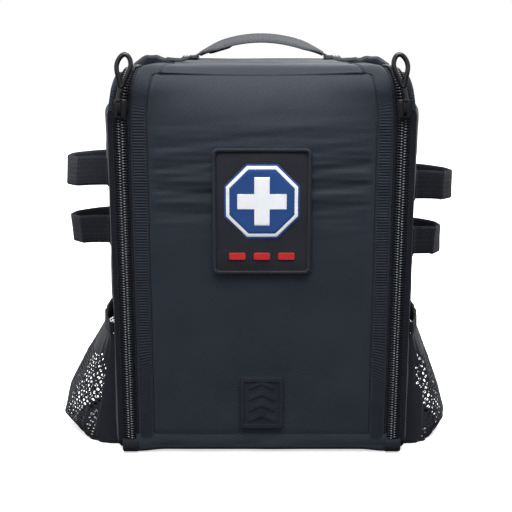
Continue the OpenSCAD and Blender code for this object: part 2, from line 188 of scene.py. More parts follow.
def cloth_map(mesh, points, uv=None):
    corner_of = np.zeros(len(mesh.loops), np.int32)
    mesh.loops.foreach_get("vertex_index", corner_of)
    flat = box_uv(mesh, corner_of, points) if uv is None else uv[corner_of]
    layer = mesh.uv_layers.new(name="cloth")
    layer.data.foreach_set("uv", flat.astype(np.float32).ravel())


def build(name, points, faces, uv=None, sharp=50):
    """A mesh object from points in millimetres, its faces turned outwards."""
    points = np.asarray(points, float).reshape(-1, 3)
    mesh = bpy.data.meshes.new(name)
    rows = faces.tolist() if isinstance(faces, np.ndarray) else [list(f) for f in faces]
    mesh.from_pydata((points * MM).tolist(), [], rows)
    cloth_map(mesh, points, uv)
    work = bmesh.new()
    work.from_mesh(mesh)
    bmesh.ops.recalc_face_normals(work, faces=work.faces)
    work.to_mesh(mesh)
    work.free()
    mesh.shade_smooth()
    mesh.set_sharp_from_angle(angle=math.radians(sharp))
    obj = bpy.data.objects.new(name, mesh)
    bpy.context.scene.collection.objects.link(obj)
    return obj


def dress(obj, material, body, stands_for=(), inside=None):
    """Gives a finished piece its material and its body, and hides the CAD nodes that it stands for."""
    obj.data.materials.append(material)
    if inside is not None:
        obj.data.materials.append(inside)
    if stands_for:
        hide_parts(*stands_for)
    if body:
        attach(obj, body)
    return obj


def grid_faces(rows, columns, wrap=False):
    last = columns if wrap else columns - 1
    i, j = np.meshgrid(np.arange(rows - 1), np.arange(last), indexing="ij")
    k = (j + 1) % columns
    quads = np.stack([i * columns + j, (i + 1) * columns + j, (i + 1) * columns + k, i * columns + k], -1)
    return quads.reshape(-1, 4)


def grid_uv(grid):
    """Cloth coordinates of a grid: its own lengths across and along."""
    across = np.cumsum(np.linalg.norm(np.diff(grid, axis=1, prepend=grid[:, :1]), axis=2), axis=1)
    across -= across[:, across.shape[1] // 2][:, None]
    up = np.cumsum(np.linalg.norm(np.diff(grid, axis=0, prepend=grid[:1]), axis=2), axis=0)
    return stack(across, up.mean(1)[:, None]).reshape(-1, 2)


def grid_normals(grid):
    return unit(np.cross(np.gradient(grid, axis=0), np.gradient(grid, axis=1)))


def rim_faces(quads, count):
    """The strip that joins a layer's open edges to the same layer, count points further on."""
    edges = np.concatenate([quads[:, [k, (k + 1) % 4]] for k in range(4)])
    key = edges[:, 0].astype(np.int64) * count + edges[:, 1]
    back = edges[:, 1].astype(np.int64) * count + edges[:, 0]
    a, b = edges[~np.isin(key, back)].T
    return np.stack([b, a, a + count, b + count], -1)


def facing(grid, side):
    """A grid of rows up and columns outwards, turned so that its outer face looks forwards."""
    return grid[:, ::-1] if side > 0 else grid


def two_layers(name, outer, inner, quads, flat, sharp=50):
    """A closed sheet between two layers of the same points, joined round its open edges."""
    outer, inner = outer.reshape(-1, 3), inner.reshape(-1, 3)
    count = len(outer)
    faces = np.concatenate([quads, quads[:, ::-1] + count, rim_faces(quads, count)])
    return build(name, np.concatenate([outer, inner]), faces, np.concatenate([flat, flat]), sharp)


def cloth(name, grid, thick, two_tone=False):
    """A closed sheet whose outer face is the grid and whose inner face is thick behind it."""
    quads = grid_faces(*grid.shape[:2])
    inner = grid - grid_normals(grid) * thick
    obj = two_layers(name, grid, inner, quads, grid_uv(grid))
    if two_tone:
        tone = np.zeros(len(obj.data.polygons), np.int32)
        tone[len(quads) : 2 * len(quads)] = 1
        obj.data.polygons.foreach_set("material_index", tone)
    return obj


def sweep(path, across, section, closed=False):
    """Points, faces and cloth coordinates of a section (across, up) carried along a path."""
    path = np.asarray(path, float)
    way = np.gradient(path, axis=0)
    if closed:
        way = np.roll(path, -1, axis=0) - np.roll(path, 1, axis=0)
    way = unit(way)
    across = np.broadcast_to(np.asarray(across, float), path.shape)
    across = unit(across - (across * way).sum(1, keepdims=True) * way)
    up = np.cross(way, across)
    section = np.broadcast_to(section, (len(path), *np.shape(section)[-2:]))
    grid = path[:, None] + across[:, None] * section[..., :1] + up[:, None] * section[..., 1:]
    rows, columns = grid.shape[:2]
    faces = grid_faces(rows, columns, wrap=True)
    around = np.abs(np.linspace(-1, 1, columns)) * np.abs(section[..., 0]).max()
    uv = stack(around[None, :], along(path)[:, None]).reshape(-1, 2)
    if closed:
        last = (rows - 1) * columns + np.arange(columns)
        first = np.arange(columns)
        join = np.stack([last, first, np.roll(first, -1), np.roll(last, -1)], -1)
        return grid.reshape(-1, 3), np.concatenate([faces, join]).tolist(), uv
    ends = [list(range(columns))[::-1], list(range((rows - 1) * columns, rows * columns))]
    return grid.reshape(-1, 3), faces.tolist() + ends, uv


def flat_section(width, thick, points=11):
    """Cross-section of flat webbing with rounded edges."""
    x = -np.cos(np.linspace(0, PI, points)) * width / 2
    y = thick / 2 * (1 - np.abs(2 * x / width) ** 10) ** 0.5
    return np.concatenate([stack(x, y), stack(x[::-1], -y[::-1])[1:-1]])


def round_section(radius, sides=8, squash=1.0):
    turn = np.linspace(0, 2 * PI, sides, endpoint=False)
    return stack(np.cos(turn) * radius, np.sin(turn) * radius * squash)


def strap(name, path, across, width, thick, sharp=50):
    points, faces, uv = sweep(path, across, flat_section(width, thick))
    return build(name, points, faces, uv, sharp)


def rod(name, path, across, radius, sides=8, closed=False, squash=1.0):
    points, faces, uv = sweep(path, across, round_section(radius, sides, squash), closed)
    return build(name, points, faces, uv, 80)


def bead(length, width, height, sides=6):
    """A small thread loop: a long rounded bead along X, as points and faces."""
    t = np.array([-1, -0.8, -0.35, 0.35, 0.8, 1])
    r = np.array([0.15, 0.66, 1, 1, 0.66, 0.15])
    path = stack(t * length / 2, 0, 0)
    section = round_section(1, sides)[None] * r[:, None, None] * (width / 2, height / 2)
    points, faces, _ = sweep(path, (0, 1, 0), section)
    return points, faces


def scatter(template, places, x_way, z_way, sizes=None):
    """Copies of a template at many places, as points and faces."""
    points, faces = template
    x = unit(np.broadcast_to(x_way, places.shape))
    z = np.broadcast_to(z_way, places.shape)
    z = unit(z - (z * x).sum(1, keepdims=True) * x)
    y = np.cross(z, x)
    scale = np.ones(len(places)) if sizes is None else np.asarray(sizes)
    spread = [points[None, :, k, None] * way[:, None] for k, way in enumerate((x, y, z))]
    made = places[:, None] + sum(spread) * scale[:, None, None]
    step = len(points)
    rows = [[v + n * step for v in f] for n in range(len(places)) for f in faces]
    return made.reshape(-1, 3), rows


def merged(*parts):
    """Several (points, faces) as one."""
    points, faces, start = [], [], 0
    for p, f in parts:
        points.append(p)
        faces += [[v + start for v in face] for face in f]
        start += len(p)
    return np.concatenate(points), faces


def stitch_row(path, up, length=2.6, gap=1.1, thread=0.55):
    """A row of stitches lying on a path."""
    at = along(path)
    want = np.arange(length / 2, at[-1] - length / 2, length + gap)
    places = stack(*[np.interp(want, at, path[:, k]) for k in range(3)])
    ways = np.gradient(path, axis=0)
    ways = stack(*[np.interp(want, at, ways[:, k]) for k in range(3)])
    return scatter(bead(length, thread, thread), places, ways, np.asarray(up, float))


def sew(name, rows, body, sharp=80):
    """A piece of thread made of rows of stitches."""
    seam = build(name, *rows, sharp=sharp)
    return dress(seam, THREAD, body)


# ---------- materials ----------


class Shader:
    """One material, with short calls that add its nodes."""

    def __init__(self, name, roughness, specular=0.3, sheen=0.0, sheen_roughness=0.5):
        self.material = bpy.data.materials.new(name)
        self.material.use_nodes = True
        self.tree = self.material.node_tree
        self.surface = self.tree.nodes["Principled BSDF"]
        self.surface.inputs["Roughness"].default_value = roughness
        self.surface.inputs["Specular IOR Level"].default_value = specular
        self.surface.inputs["Sheen Weight"].default_value = sheen
        self.surface.inputs["Sheen Roughness"].default_value = sheen_roughness

    def put(self, socket, value):
        if isinstance(value, bpy.types.NodeSocket):
            self.tree.links.new(value, socket)
        else:
            socket.default_value = value

    def add(self, kind, sockets, **settings):
        node = self.tree.nodes.new("ShaderNode" + kind)
        for key, value in settings.items():
            setattr(node, key, value)
        for key, value in sockets.items():
            self.put(node.inputs[key], value)
        return node

    def calc(self, operation, *values):
        node = self.add("Math", {}, operation=operation)
        for socket, value in zip(node.inputs, values):
            self.put(socket, value)
        return node.outputs[0]

    def cloth(self):
        """The cloth coordinates, in millimetres, and their two parts."""
        flat = self.add("UVMap", {}, uv_map="cloth").outputs["UV"]
        parts = self.add("SeparateXYZ", {"Vector": flat})
        return flat, parts.outputs["X"], parts.outputs["Y"]

    def wave(self, length, pitch):
        """A ripple from 0 to 1 along a coordinate."""
        turn = self.calc("SINE", self.calc("MULTIPLY", length, 2 * PI / pitch))
        return self.calc("MULTIPLY_ADD", turn, 0.5, 0.5)

    def noise(self, where, scale, detail=2.0):
        sockets = {"Vector": where, "Scale": scale, "Detail": detail}
        return self.add("TexNoise", sockets).outputs["Fac"]

    def blend(self, share, first, second):
        node = self.add("Mix", {}, data_type="RGBA")
        self.put(node.inputs["Factor"], share)
        self.put(node.inputs[6], (*first, 1) if isinstance(first, tuple) else first)
        self.put(node.inputs[7], (*second, 1) if isinstance(second, tuple) else second)
        return node.outputs[2]

    def finish(self, colour, height, depth, strength=1.0):
        self.put(self.surface.inputs["Base Color"], colour)
        sockets = {"Height": height, "Distance": depth * MM, "Strength": strength}
        bump = self.add("Bump", sockets)
        self.put(self.surface.inputs["Normal"], bump.outputs["Normal"])
        return self.material


def weave_height(shader, u, v, weave, pitch):
    if weave == "twill":
        line = shader.wave(shader.calc("ADD", u, v), pitch * 1.4)
        thread = shader.wave(shader.calc("SUBTRACT", u, v), pitch * 0.9)
        return shader.calc("MULTIPLY", line, shader.calc("MULTIPLY_ADD", thread, 0.6, 0.4))
    if weave == "webbing":
        shift = shader.calc("MULTIPLY", shader.wave(u, pitch * 4), pitch * 1.6)
        line = shader.wave(shader.calc("ADD", v, shift), pitch)
        thread = shader.wave(u, pitch * 0.8)
        return shader.calc("MULTIPLY", line, shader.calc("MULTIPLY_ADD", thread, 0.5, 0.5))
    if weave == "spacer":
        hole = shader.calc("MULTIPLY", shader.wave(shader.calc("ADD", u, v), pitch * 1.4),
                           shader.wave(shader.calc("SUBTRACT", u, v), pitch * 1.4))
        return shader.calc("SUBTRACT", 1.0, shader.calc("POWER", hole, 2.0))
    across = shader.wave(u, pitch)
    up = shader.wave(v, pitch)
    return shader.calc("MULTIPLY_ADD", across, up, shader.calc("MULTIPLY", 0.3, up))


def fabric(name, light, dark, weave, pitch, rough=0.75, sheen=0.1, depth=0.2, specular=0.3, patchy=0.35):
    """Woven cloth: threads from the weave, uneven dye from two sizes of noise."""
    s = Shader(name, rough, specular, sheen)
    flat, u, v = s.cloth()
    height = weave_height(s, u, v, weave, pitch)
    fuzz = s.noise(flat, 1.1 / pitch, 1.0)
    tone = s.calc("MULTIPLY_ADD", fuzz, 0.8, s.calc("MULTIPLY", height, 0.75))
    cloud = s.noise(flat, 0.035, 3.0)
    tone = s.calc("MULTIPLY", tone, s.calc("MULTIPLY_ADD", cloud, patchy * 2, 1 - patchy))
    colour = s.blend(tone, dark, light)
    rough_map = s.calc("MULTIPLY_ADD", s.noise(flat, 0.3, 2.0), 0.16, rough - 0.08)
    s.put(s.surface.inputs["Roughness"], rough_map)
    bumps = s.calc("MULTIPLY_ADD", fuzz, 0.5, height)
    return s.finish(colour, bumps, depth)


def moulded(name, light, dark, rough, grain=0.6, depth=0.03, specular=0.5, coat=0.0, metal=0.0):
    """Plastic, rubber or lacquer: a fine grain, scuffs and slightly uneven gloss."""
    s = Shader(name, rough, specular)
    s.surface.inputs["Coat Weight"].default_value = coat
    s.surface.inputs["Coat Roughness"].default_value = 0.12
    s.surface.inputs["Metallic"].default_value = metal
    where = s.add("TexCoord", {}).outputs["Object"]
    fine = s.noise(where, 1000 / grain, 2.0)
    scuff = s.noise(where, 90.0, 4.0)
    share = s.calc("MULTIPLY_ADD", scuff, 0.8, s.calc("MULTIPLY", fine, 0.3))
    rough_map = s.calc("MULTIPLY_ADD", scuff, 0.25, rough - 0.1)
    s.put(s.surface.inputs["Roughness"], rough_map)
    return s.finish(s.blend(share, dark, light), fine, depth)


SHELL = fabric("navy_nylon", (0.020, 0.026, 0.038), (0.003, 0.004, 0.007), "twill", 1.7,
               rough=0.6, depth=0.16, specular=0.14)
SIDE_CLOTH = fabric("navy_nylon_side", (0.015, 0.018, 0.027), (0.003, 0.004, 0.007), "twill", 1.25,
                    rough=0.68, depth=0.16, specular=0.1)
LINING = fabric("lining_nylon", (0.034, 0.037, 0.047), (0.012, 0.014, 0.018), "plain", 0.9,
                rough=0.7, depth=0.08, specular=0.15)
RIBBED = fabric("ribbed_cloth", (0.016, 0.020, 0.029), (0.003, 0.004, 0.007), "plain", 1.1,
                rough=0.66, depth=0.1, specular=0.12)
TAPE = fabric("zip_tape", (0.009, 0.011, 0.017), (0.002, 0.002, 0.004), "webbing", 1.2,
              rough=0.72, depth=0.12, specular=0.08)
WEBBING = fabric("webbing", (0.014, 0.016, 0.023), (0.002, 0.003, 0.005), "webbing", 1.7,
                 rough=0.62, depth=0.3, specular=0.14)
HANDLE_CLOTH = fabric("handle_webbing", (0.056, 0.060, 0.068), (0.014, 0.015, 0.018), "webbing", 1.5,
                      rough=0.8, sheen=0.1, depth=0.25, specular=0.15)
BINDING = fabric("binding", (0.011, 0.013, 0.018), (0.002, 0.002, 0.004), "plain", 1.0,
                 rough=0.74, depth=0.15, specular=0.08)
NET = fabric("pocket_net", (0.017, 0.020, 0.028), (0.003, 0.004, 0.006), "plain", 0.7,
             rough=0.6, depth=0.06, specular=0.12)
SPACER = fabric("spacer_mesh", (0.022, 0.024, 0.031), (0.003, 0.003, 0.005), "spacer", 2.6,
                rough=0.82, depth=0.5, specular=0.1)
PATCH_CLOTH = fabric("patch_ground", (0.021, 0.023, 0.030), (0.002, 0.002, 0.004), "webbing", 1.5,
                     rough=0.78, depth=0.22, specular=0.1)
BLUE_THREAD = fabric("blue_thread", (0.010, 0.062, 0.230), (0.003, 0.020, 0.090), "webbing", 0.9,
                     rough=0.5, depth=0.15, specular=0.25)
WHITE_THREAD = fabric("white_thread", (0.86, 0.88, 0.90), (0.50, 0.53, 0.58), "webbing", 0.9,
                      rough=0.5, depth=0.15, specular=0.3, patchy=0.1)
RED_THREAD = fabric("red_thread", (0.55, 0.018, 0.020), (0.26, 0.008, 0.010), "webbing", 0.9,
                    rough=0.5, depth=0.15, specular=0.2, patchy=0.15)
THREAD = fabric("sewing_thread", (0.017, 0.020, 0.029), (0.004, 0.005, 0.008), "plain", 0.5,
                rough=0.5, depth=0.05, specular=0.18)
COIL = moulded("coil_nylon", (0.008, 0.009, 0.013), (0.002, 0.002, 0.003), 0.3, specular=0.2, coat=0.1)
# Painted highlight: light grey for beads on the black coil's heads, standing in for glints of light on them.
COIL_HEAD_GLINT = moulded("coil_head_painted_glints", (0.170, 0.185, 0.205), (0.045, 0.050, 0.060), 0.25, specular=0.6)
GLOSS = moulded("gloss_rubber", (0.010, 0.010, 0.012), (0.003, 0.003, 0.004), 0.3, specular=0.35, coat=0.2)
LACQUER = moulded("black_lacquer", (0.010, 0.010, 0.013), (0.003, 0.003, 0.004), 0.34, specular=0.3)
BADGE_RUBBER = moulded("badge_rubber", (0.018, 0.021, 0.031), (0.008, 0.009, 0.014), 0.45,
                       grain=0.9, depth=0.05, specular=0.25)
BUCKLE = moulded("acetal", (0.010, 0.010, 0.012), (0.004, 0.004, 0.005), 0.45, grain=0.8, depth=0.05,
                 specular=0.3)


# ---------- the front's shape ----------

DRIFT_START = 287.0
DRIFT = 0.2
ROLL = 0.42
ROLL_A = -16.0
ROLL_SPAN = 26.0


def zip_profile(s):
    """Y, Z and turn of the front at distance s up the zip: straight, over the edge, then back."""
    turn = np.clip((s - ARC_Z) / EDGE_R, 0, PI / 2)
    y = ARC_Y - EDGE_R * np.cos(turn) + np.maximum(s - TOP_S, 0)
    z = np.minimum(s, ARC_Z) + EDGE_R * np.sin(turn)
    return y, z, turn


def on_front(side, s, a, h=0.0):
    """A point of the front: s up the zip, a outwards from its centre line, h above the cloth.

    Towards the top the zip drifts inwards, and its outer side rolls over the pack's corner.
    """
    s, a, h = np.broadcast_arrays(*[np.asarray(v, float) for v in (s, a, h)])
    y, z, turn = zip_profile(s)
    rise = np.maximum(s - DRIFT_START, 0)
    drift = DRIFT * rise**2 / (rise + 12)
    slant = np.arctan(DRIFT * (rise**2 + 24 * rise) / (rise + 12) ** 2)
    out = stack(np.cos(slant), np.sin(slant) * np.sin(turn), np.sin(slant) * np.cos(turn))
    face = stack(0.0, -np.cos(turn), np.sin(turn))
    roll = ROLL * smooth(s, 290, 345)
    u = np.clip((a - ROLL_A) / ROLL_SPAN, 0, 1)
    tilt = roll * u * u * (3 - 2 * u)
    drop = roll * ROLL_SPAN * (u**3 - u**4 / 2) + roll * np.maximum(a - ROLL_A - ROLL_SPAN, 0)
    start = stack(ZIP_X - drift + ROLL_A, y, z)
    up = np.cos(tilt)[..., None] * face + np.sin(tilt)[..., None] * out
    p = start + (a - ROLL_A)[..., None] * out - drop[..., None] * face + h[..., None] * up
    return p * (side, 1, 1)


def front_ways(side, s, a):
    """The upward and the outward-facing directions at a point of the front."""
    here = on_front(side, s, a)
    up = on_front(side, np.asarray(s) + 0.5, a) - here
    face = on_front(side, s, a, 1.0) - here
    return unit(up), unit(face)


LIP_SEAM = 325.0


def seam_a(s):
    """Where the panel's cloth meets the ribbed strip; it steps inwards above the lip's seam."""
    return SEAM_A - 6 * smooth(s, LIP_SEAM - 2, LIP_SEAM + 3)


def panel_point(x_share, s, h=0.0):
    """The panel's face: its middle leans back earlier and turns over more softly than its sides."""
    x_share, s = np.broadcast_arrays(np.asarray(x_share, float), np.asarray(s, float))
    edge = on_front(1, s, seam_a(s))
    bend = np.clip((s - 262) / (TOP_S + 14 - 262), 0, 1) * PI / 2
    back = np.maximum(s - TOP_S - 14, 0)
    middle_y = np.where(s < 262, FRONT_Y, FRONT_Y + 36 - 36 * np.cos(bend) + back)
    middle_z = np.where(s < 262, s, 262 + (PACK_TOP - 262) * np.sin(bend))
    side_share = np.abs(x_share) ** 2.6
    y = middle_y * (1 - side_share) + edge[..., 1] * side_share
    z = middle_z * (1 - side_share) + edge[..., 2] * side_share
    curl = np.clip((24 - s) / 10, 0, 1)
    p = stack(edge[..., 0] * x_share, y + 0.9 * curl**2, z)
    if np.ndim(h) or h:
        p = p + panel_normal(x_share, s) * np.asarray(h)[..., None]
    return p


def panel_normal(x_share, s):
    du = panel_point(x_share + 0.004, s) - panel_point(x_share - 0.004, s)
    ds = panel_point(x_share, s + 0.4) - panel_point(x_share, s - 0.4)
    return unit(np.cross(du, ds))


# ---------- front panel ----------


def panel_ripples(p):
    """Small level ripples across the upper panel, and broad unevenness below."""
    x, z = p[..., 0], p[..., 2]
    fine = rumple(stack(x * 0.12, 0, z), 5.2, 3, 12) * bell(z, 240, 66)
    broad = rumple(stack(x * 0.6, 0, z), 55, 4)
    return 0.85 * fine + 0.5 * broad


def make_panel_skin():
    s = np.linspace(PANEL_Z0, LIP_S, 215)
    s = np.sort(np.concatenate([s, LIP_SEAM + np.linspace(-2.6, 2.6, 9)]))
    share = np.sin(np.linspace(-PI / 2, PI / 2, 105))
    grid = panel_point(share[None, :], s[:, None])
    rolled = 1.5 * smooth(np.abs(share), 0.984, 1.0)[None, :]
    seam = 0.8 * bell(s, LIP_SEAM, 2.2)[:, None]
    hem = 0.8 * smooth(s, LIP_S - 3, LIP_S)[:, None]
    h = panel_ripples(grid) * (1 - smooth(np.abs(share), 0.9, 1.0)[None, :]) - rolled - seam - hem
    grid = panel_point(share[None, :], s[:, None], h)
    skin = cloth("panel_skin", grid[:, ::-1], 1.3)
    dress(skin, SHELL, "front_panel_body", ["front_panel"])
    return skin


def make_ribbed_strip(side_name, side):
    """Corded cloth beside the zip. The cords fade out where it turns over the top."""
    pitch = 2.3
    s = np.arange(PANEL_Z0 - 4, LIP_S - 4, pitch / 6)
    share = np.linspace(0, 1, 15)
    a0 = seam_a(s)[:, None] + 0.15
    a = a0 + (-7.4 - a0) * share[None, :]
    lean = 0.9 * smooth(s, 120, 20)[:, None]
    phase = PI * (s[:, None] + lean * (a - a0)) / pitch
    cord = np.abs(np.sin(phase)) ** 0.7 * (1 - smooth(s, 284, 304))[:, None]
    uneven = 1 + 0.25 * rumple(stack(a, 0, s[:, None] * 0.7), 9, 11 + side)
    edge = smooth(share, 0.1, 0.0) * 1.3 + smooth(share, 0.88, 1.0) * 1.4
    ridge = 0.5 * bell(share, 0.55, 0.5)[None, :] * smooth(s, 290, 310)[:, None]
    h = 0.75 * cord * uneven * smooth(share, 0.03, 0.16) * smooth(share, 0.95, 0.8) - edge[None, :]
    grid = on_front(side, s[:, None], a, h + ridge - 0.2)
    strip = cloth(f"ribbed_strip_{side_name}", facing(grid, side), 1.2)
    dress(strip, RIBBED, "front_panel_body", [f"edge_strip_{side_name}"])
    line = np.arange(16, LIP_S - 6, 1.0)
    path = on_front(side, line, seam_a(line) + 1.9, 0.15)
    rows = stitch_row(path, (0, -1, 0.3), length=1.5, gap=0.8, thread=0.5)
    sew(f"strip_stitches_{side_name}", rows, "front_panel_body")
    return strip


def make_tape(side_name, side, inner):
    """One woven half of the zip's tape."""
    a = np.linspace(-10.0, -0.3, 7) if inner else np.linspace(0.3, TAPE_OUT + 0.6, 7)
    s = np.linspace(PANEL_Z0 + 1 if inner else ZIP_Z0 + 1, TOP_S + 12, 150)
    a, s = np.meshgrid(a, s)
    slack = 0.12 * rumple(stack(a * 2, 0, s), 14, 21 + side)
    grid = on_front(side, s, a, slack - 1.85)
    name = "door" if inner else "pack"
    tape = cloth(f"zip_tape_{name}_{side_name}", facing(grid, side), 0.8)
    body = "front_panel_body" if inner else "pack_body"
    node = f"{'inner' if inner else 'outer'}_tape_{side_name}"
    dress(tape, TAPE, body, [node])
    line = np.arange(18, TOP_S + 6, 1.0)
    at = -6.2 if inner else 6.4
    path = on_front(side, line, at, -1.6)
    rows = stitch_row(path, (0, -1, 0.3), length=2.2, gap=0.9, thread=0.5)
    sew(f"tape_stitches_{name}_{side_name}", rows, body)


def tooth():
    """One turn of a zip coil: from the tape up, across to the middle and into its head."""
    bend = curve([(0, 0.2, -1.7), (0.1, 0.15, -0.5), (0.8, 0.1, 0.35), (2.6, 0, 0.5),
                  (4.5, -0.15, 0.5), (5.4, -0.25, -0.1), (5.5, -0.25, -0.9)], 1.15)
    t = np.linspace(0, 1, len(bend))
    wide = 0.62 - 0.14 * smooth(t, 0.55, 0.8)
    tall = 0.55 + 0.12 * bell(t, 0.75, 0.25)
    ends = 1 - 0.6 * (smooth(t, 0.1, 0) + smooth(t, 0.92, 1))
    section = round_section(1, 6)[None] * stack(wide * ends, tall * ends)[:, None]
    points, faces, _ = sweep(bend, (0, 1, 0), section)
    return points, faces


def make_teeth(side_name, side, inner):
    """One side of the coil chain, its heads between the heads of the other side, with light beads on the
    heads as painted highlights.
    """
    pitch = 2.2
    first = (PANEL_Z0 + 1 if inner else ZIP_Z0 + 2) + (0 if inner else pitch / 2)
    count = int((TOP_S + 8 - first) / pitch)
    s = PANEL_Z0 + 1 + pitch * np.arange(count) + (0 if inner else pitch / 2)
    a = -4.6 if inner else 4.6
    places = on_front(side, s, a)
    ahead = on_front(side, s, a * 0.2) - places
    _, face = front_ways(side, s, a * 0.5)
    teeth = build(f"zip_coil_{'door' if inner else 'pack'}_{side_name}",
                  *scatter(tooth(), places, ahead, face), sharp=80)
    body = "front_panel_body" if inner else "pack_body"
    dress(teeth, COIL, body, [f"{'inner' if inner else 'outer'}_coil_{side_name}"])
    # Painted highlights: light grey beads on the heads stand for glints of light on the black nylon coil.
    heads = on_front(side, s, -1.35 if inner else 1.35, 0.75)
    glint_beads = scatter(bead(1.7, 1.1, 1.1), heads, ahead, face)
    head_glints = build(f"zip_head_glints_{'door' if inner else 'pack'}_{side_name}", *glint_beads, sharp=80)
    dress(head_glints, COIL_HEAD_GLINT, body)


def make_panel_lining():
    """Quilted foam and lining behind the panel's cloth."""
    s = np.linspace(22, TOP_S + 16, 120)
    share = np.linspace(-0.94, 0.94, 81)
    grid = panel_point(share[None, :], s[:, None])
    x, z = grid[..., 0], grid[..., 2]
    quilt = np.minimum(np.abs(np.sin(PI * x / 30)), np.abs(np.sin(PI * z / 36))) ** 0.5
    edge = smooth(np.abs(share), 0.86, 0.94)[None, :] + smooth(s, 32, 22)[:, None]
    depth = -1.7 - (3.4 - 1.6 * np.clip(edge, 0, 1)) * (0.72 + 0.28 * quilt)
    inner = panel_point(share[None, :], s[:, None], depth)
    outer = panel_point(share[None, :], s[:, None], -1.6)
    board = two_layers("panel_lining", outer, inner, grid_faces(*inner.shape[:2]), grid_uv(inner))
    dress(board, LINING, "front_panel_body", ["panel_stiffener"])


def make_door_pocket():
    """Slack pocket on the inside of the panel, with an elastic upper edge."""
    lower, upper = low("door_pocket"), high("door_pocket")
    x = np.linspace(lower[0], upper[0], 70)
    z = np.linspace(lower[2], upper[2], 60)
    x, z = np.meshgrid(x, z)
    u = x / upper[0]
    v = (z - lower[2]) / (upper[2] - lower[2])
    belly = (1 - u**4) * smooth(v, 0, 0.2) * (0.6 + 0.4 * np.sin(PI * np.clip(v, 0, 1)))
    folds = rumple(stack(x, 0, z * 0.35), 22, 31) * (1 - u**4) * v
    y = lower[1] + 1.2 + 2.6 * belly + 0.7 * folds
    pocket = cloth("door_pocket_cloth", stack(x, y, z), 0.8)
    dress(pocket, LINING, "front_panel_body", ["door_pocket"])
    path = curve(stack(x[-1], y[-1] + 0.3, z[-1])[::6], 2)
    hem = strap("door_pocket_hem", path, (0, 0, 1), 9, 1.8)
    dress(hem, BINDING, "front_panel_body")


# ---------- pack body ----------

SHELF_ROUND = 7.0
DRUM_R = ((BACK_Y**2) + SIDE_BULGE**2) / (2 * SIDE_BULGE)


def side_surface(y):
    """Distance of a side panel from the middle, at depth y."""
    return SIDE_MID - DRUM_R + np.sqrt(DRUM_R**2 - np.asarray(y, float) ** 2)


def shell_ring():
    """Plan of the bag from its right front edge round the back to its left one, with normals."""
    corner = 15.0
    turn_y = BACK_Y - corner
    y = np.linspace(SIDE_Y, turn_y, 48)
    flank = stack(side_surface(y), y)
    turn = np.linspace(0, PI / 2, 11)[1:]
    centre_x = flank[-1, 0] - corner
    round_part = stack(centre_x + corner * np.cos(turn), turn_y + corner * np.sin(turn))
    x = np.linspace(centre_x, 0, 34)[1:]
    half = np.concatenate([flank, round_part, stack(x, BACK_Y)])
    ring = np.concatenate([half, (half * (-1, 1))[-2::-1]])
    way = unit(np.gradient(ring, axis=0))
    return ring, stack(way[:, 1], -way[:, 0])


def make_shell():
    """The bag's body: one sheet from the middle of the base, round the foot and up the sides and back."""
    ring, out = shell_ring()
    rows = []
    for k in np.linspace(0.02, 1, 24)[:-1]:
        base = ring - out * BASE_R
        front = SIDE_Y + BASE_R
        rear = BACK_Y - BASE_R
        base = stack(base[:, 0], front + (base[:, 1] - SIDE_Y) * (rear - front) / (rear - SIDE_Y))
        rows.append(stack(base[:, 0] * k, front + (base[:, 1] - front) * k, 0.15))
    heights = np.concatenate([BASE_R * (1 - np.cos(np.linspace(0, PI / 2, 9)))[:-1],
                              np.linspace(BASE_R, SHELF_Z - SHELF_ROUND, 96)])
    for z in heights:
        inset = BASE_R - math.sqrt(max(BASE_R**2 - max(BASE_R - z, 0) ** 2, 0))
        p = ring - out * inset
        forward = smooth(ring[:, 1], -30, SIDE_Y)
        rows.append(stack(p[:, 0], p[:, 1] + inset * forward, z))
    flank = smooth(np.abs(out[:, 0]), 0.2, 0.9)
    for turn in np.linspace(0, PI / 2, 8)[1:]:
        p = ring - out * (SHELF_ROUND * (1 - math.cos(turn)) * flank)[:, None]
        rows.append(stack(p[:, 0], p[:, 1], SHELF_Z - SHELF_ROUND + 7.2 * math.sin(turn)))
    p = ring - out * (12 * flank)[:, None]
    rows.append(stack(p[:, 0], p[:, 1], SHELF_Z + 0.4 + 3 * (1 - flank)))
    grid = np.array(rows)
    x, y, z = grid[..., 0], grid[..., 1], grid[..., 2]
    held = smooth(y, SIDE_Y, SIDE_Y + 22) * smooth(z, 4, 30) * (1 - smooth(z, SHELF_Z - 14, SHELF_Z))
    lumps = rumple(grid * (1, 0.8, 0.55), 34, 41) + 0.35 * rumple(grid, 13, 42)
    tucked = 1.6 * bell(z, 112, 20) * smooth(np.abs(x), 115, 122)
    grid = grid + grid_normals(grid) * -((lumps - 0.5) * held * (np.abs(x) > 100))[..., None]
    grid = grid - stack(np.sign(x), 0, 0) * (tucked * held)[..., None]
    shell = cloth("pack_shell", grid[:, ::-1], 3.0, two_tone=True)
    dress(shell, SIDE_CLOTH, "pack_body",
          ["back_panel", "bottom_panel", "side_panel_left", "side_panel_right"], LINING)
    return shell


def crown_arch():
    """Half of the crown's front outline, from the ledge up to the middle, with its length."""
    z = np.linspace(SHELF_Z - 5, PACK_TOP - CROWN_R, 8)
    straight = stack(CROWN_X, z)
    turn = np.linspace(0, PI / 2, 20)[1:]
    centre = np.array([CROWN_X - CROWN_R, PACK_TOP - CROWN_R])
    bend = centre + CROWN_R * stack(np.cos(turn), np.sin(turn))
    top = stack(np.linspace(centre[0], 0, 36)[1:], PACK_TOP)
    return np.concatenate([straight, bend, top])


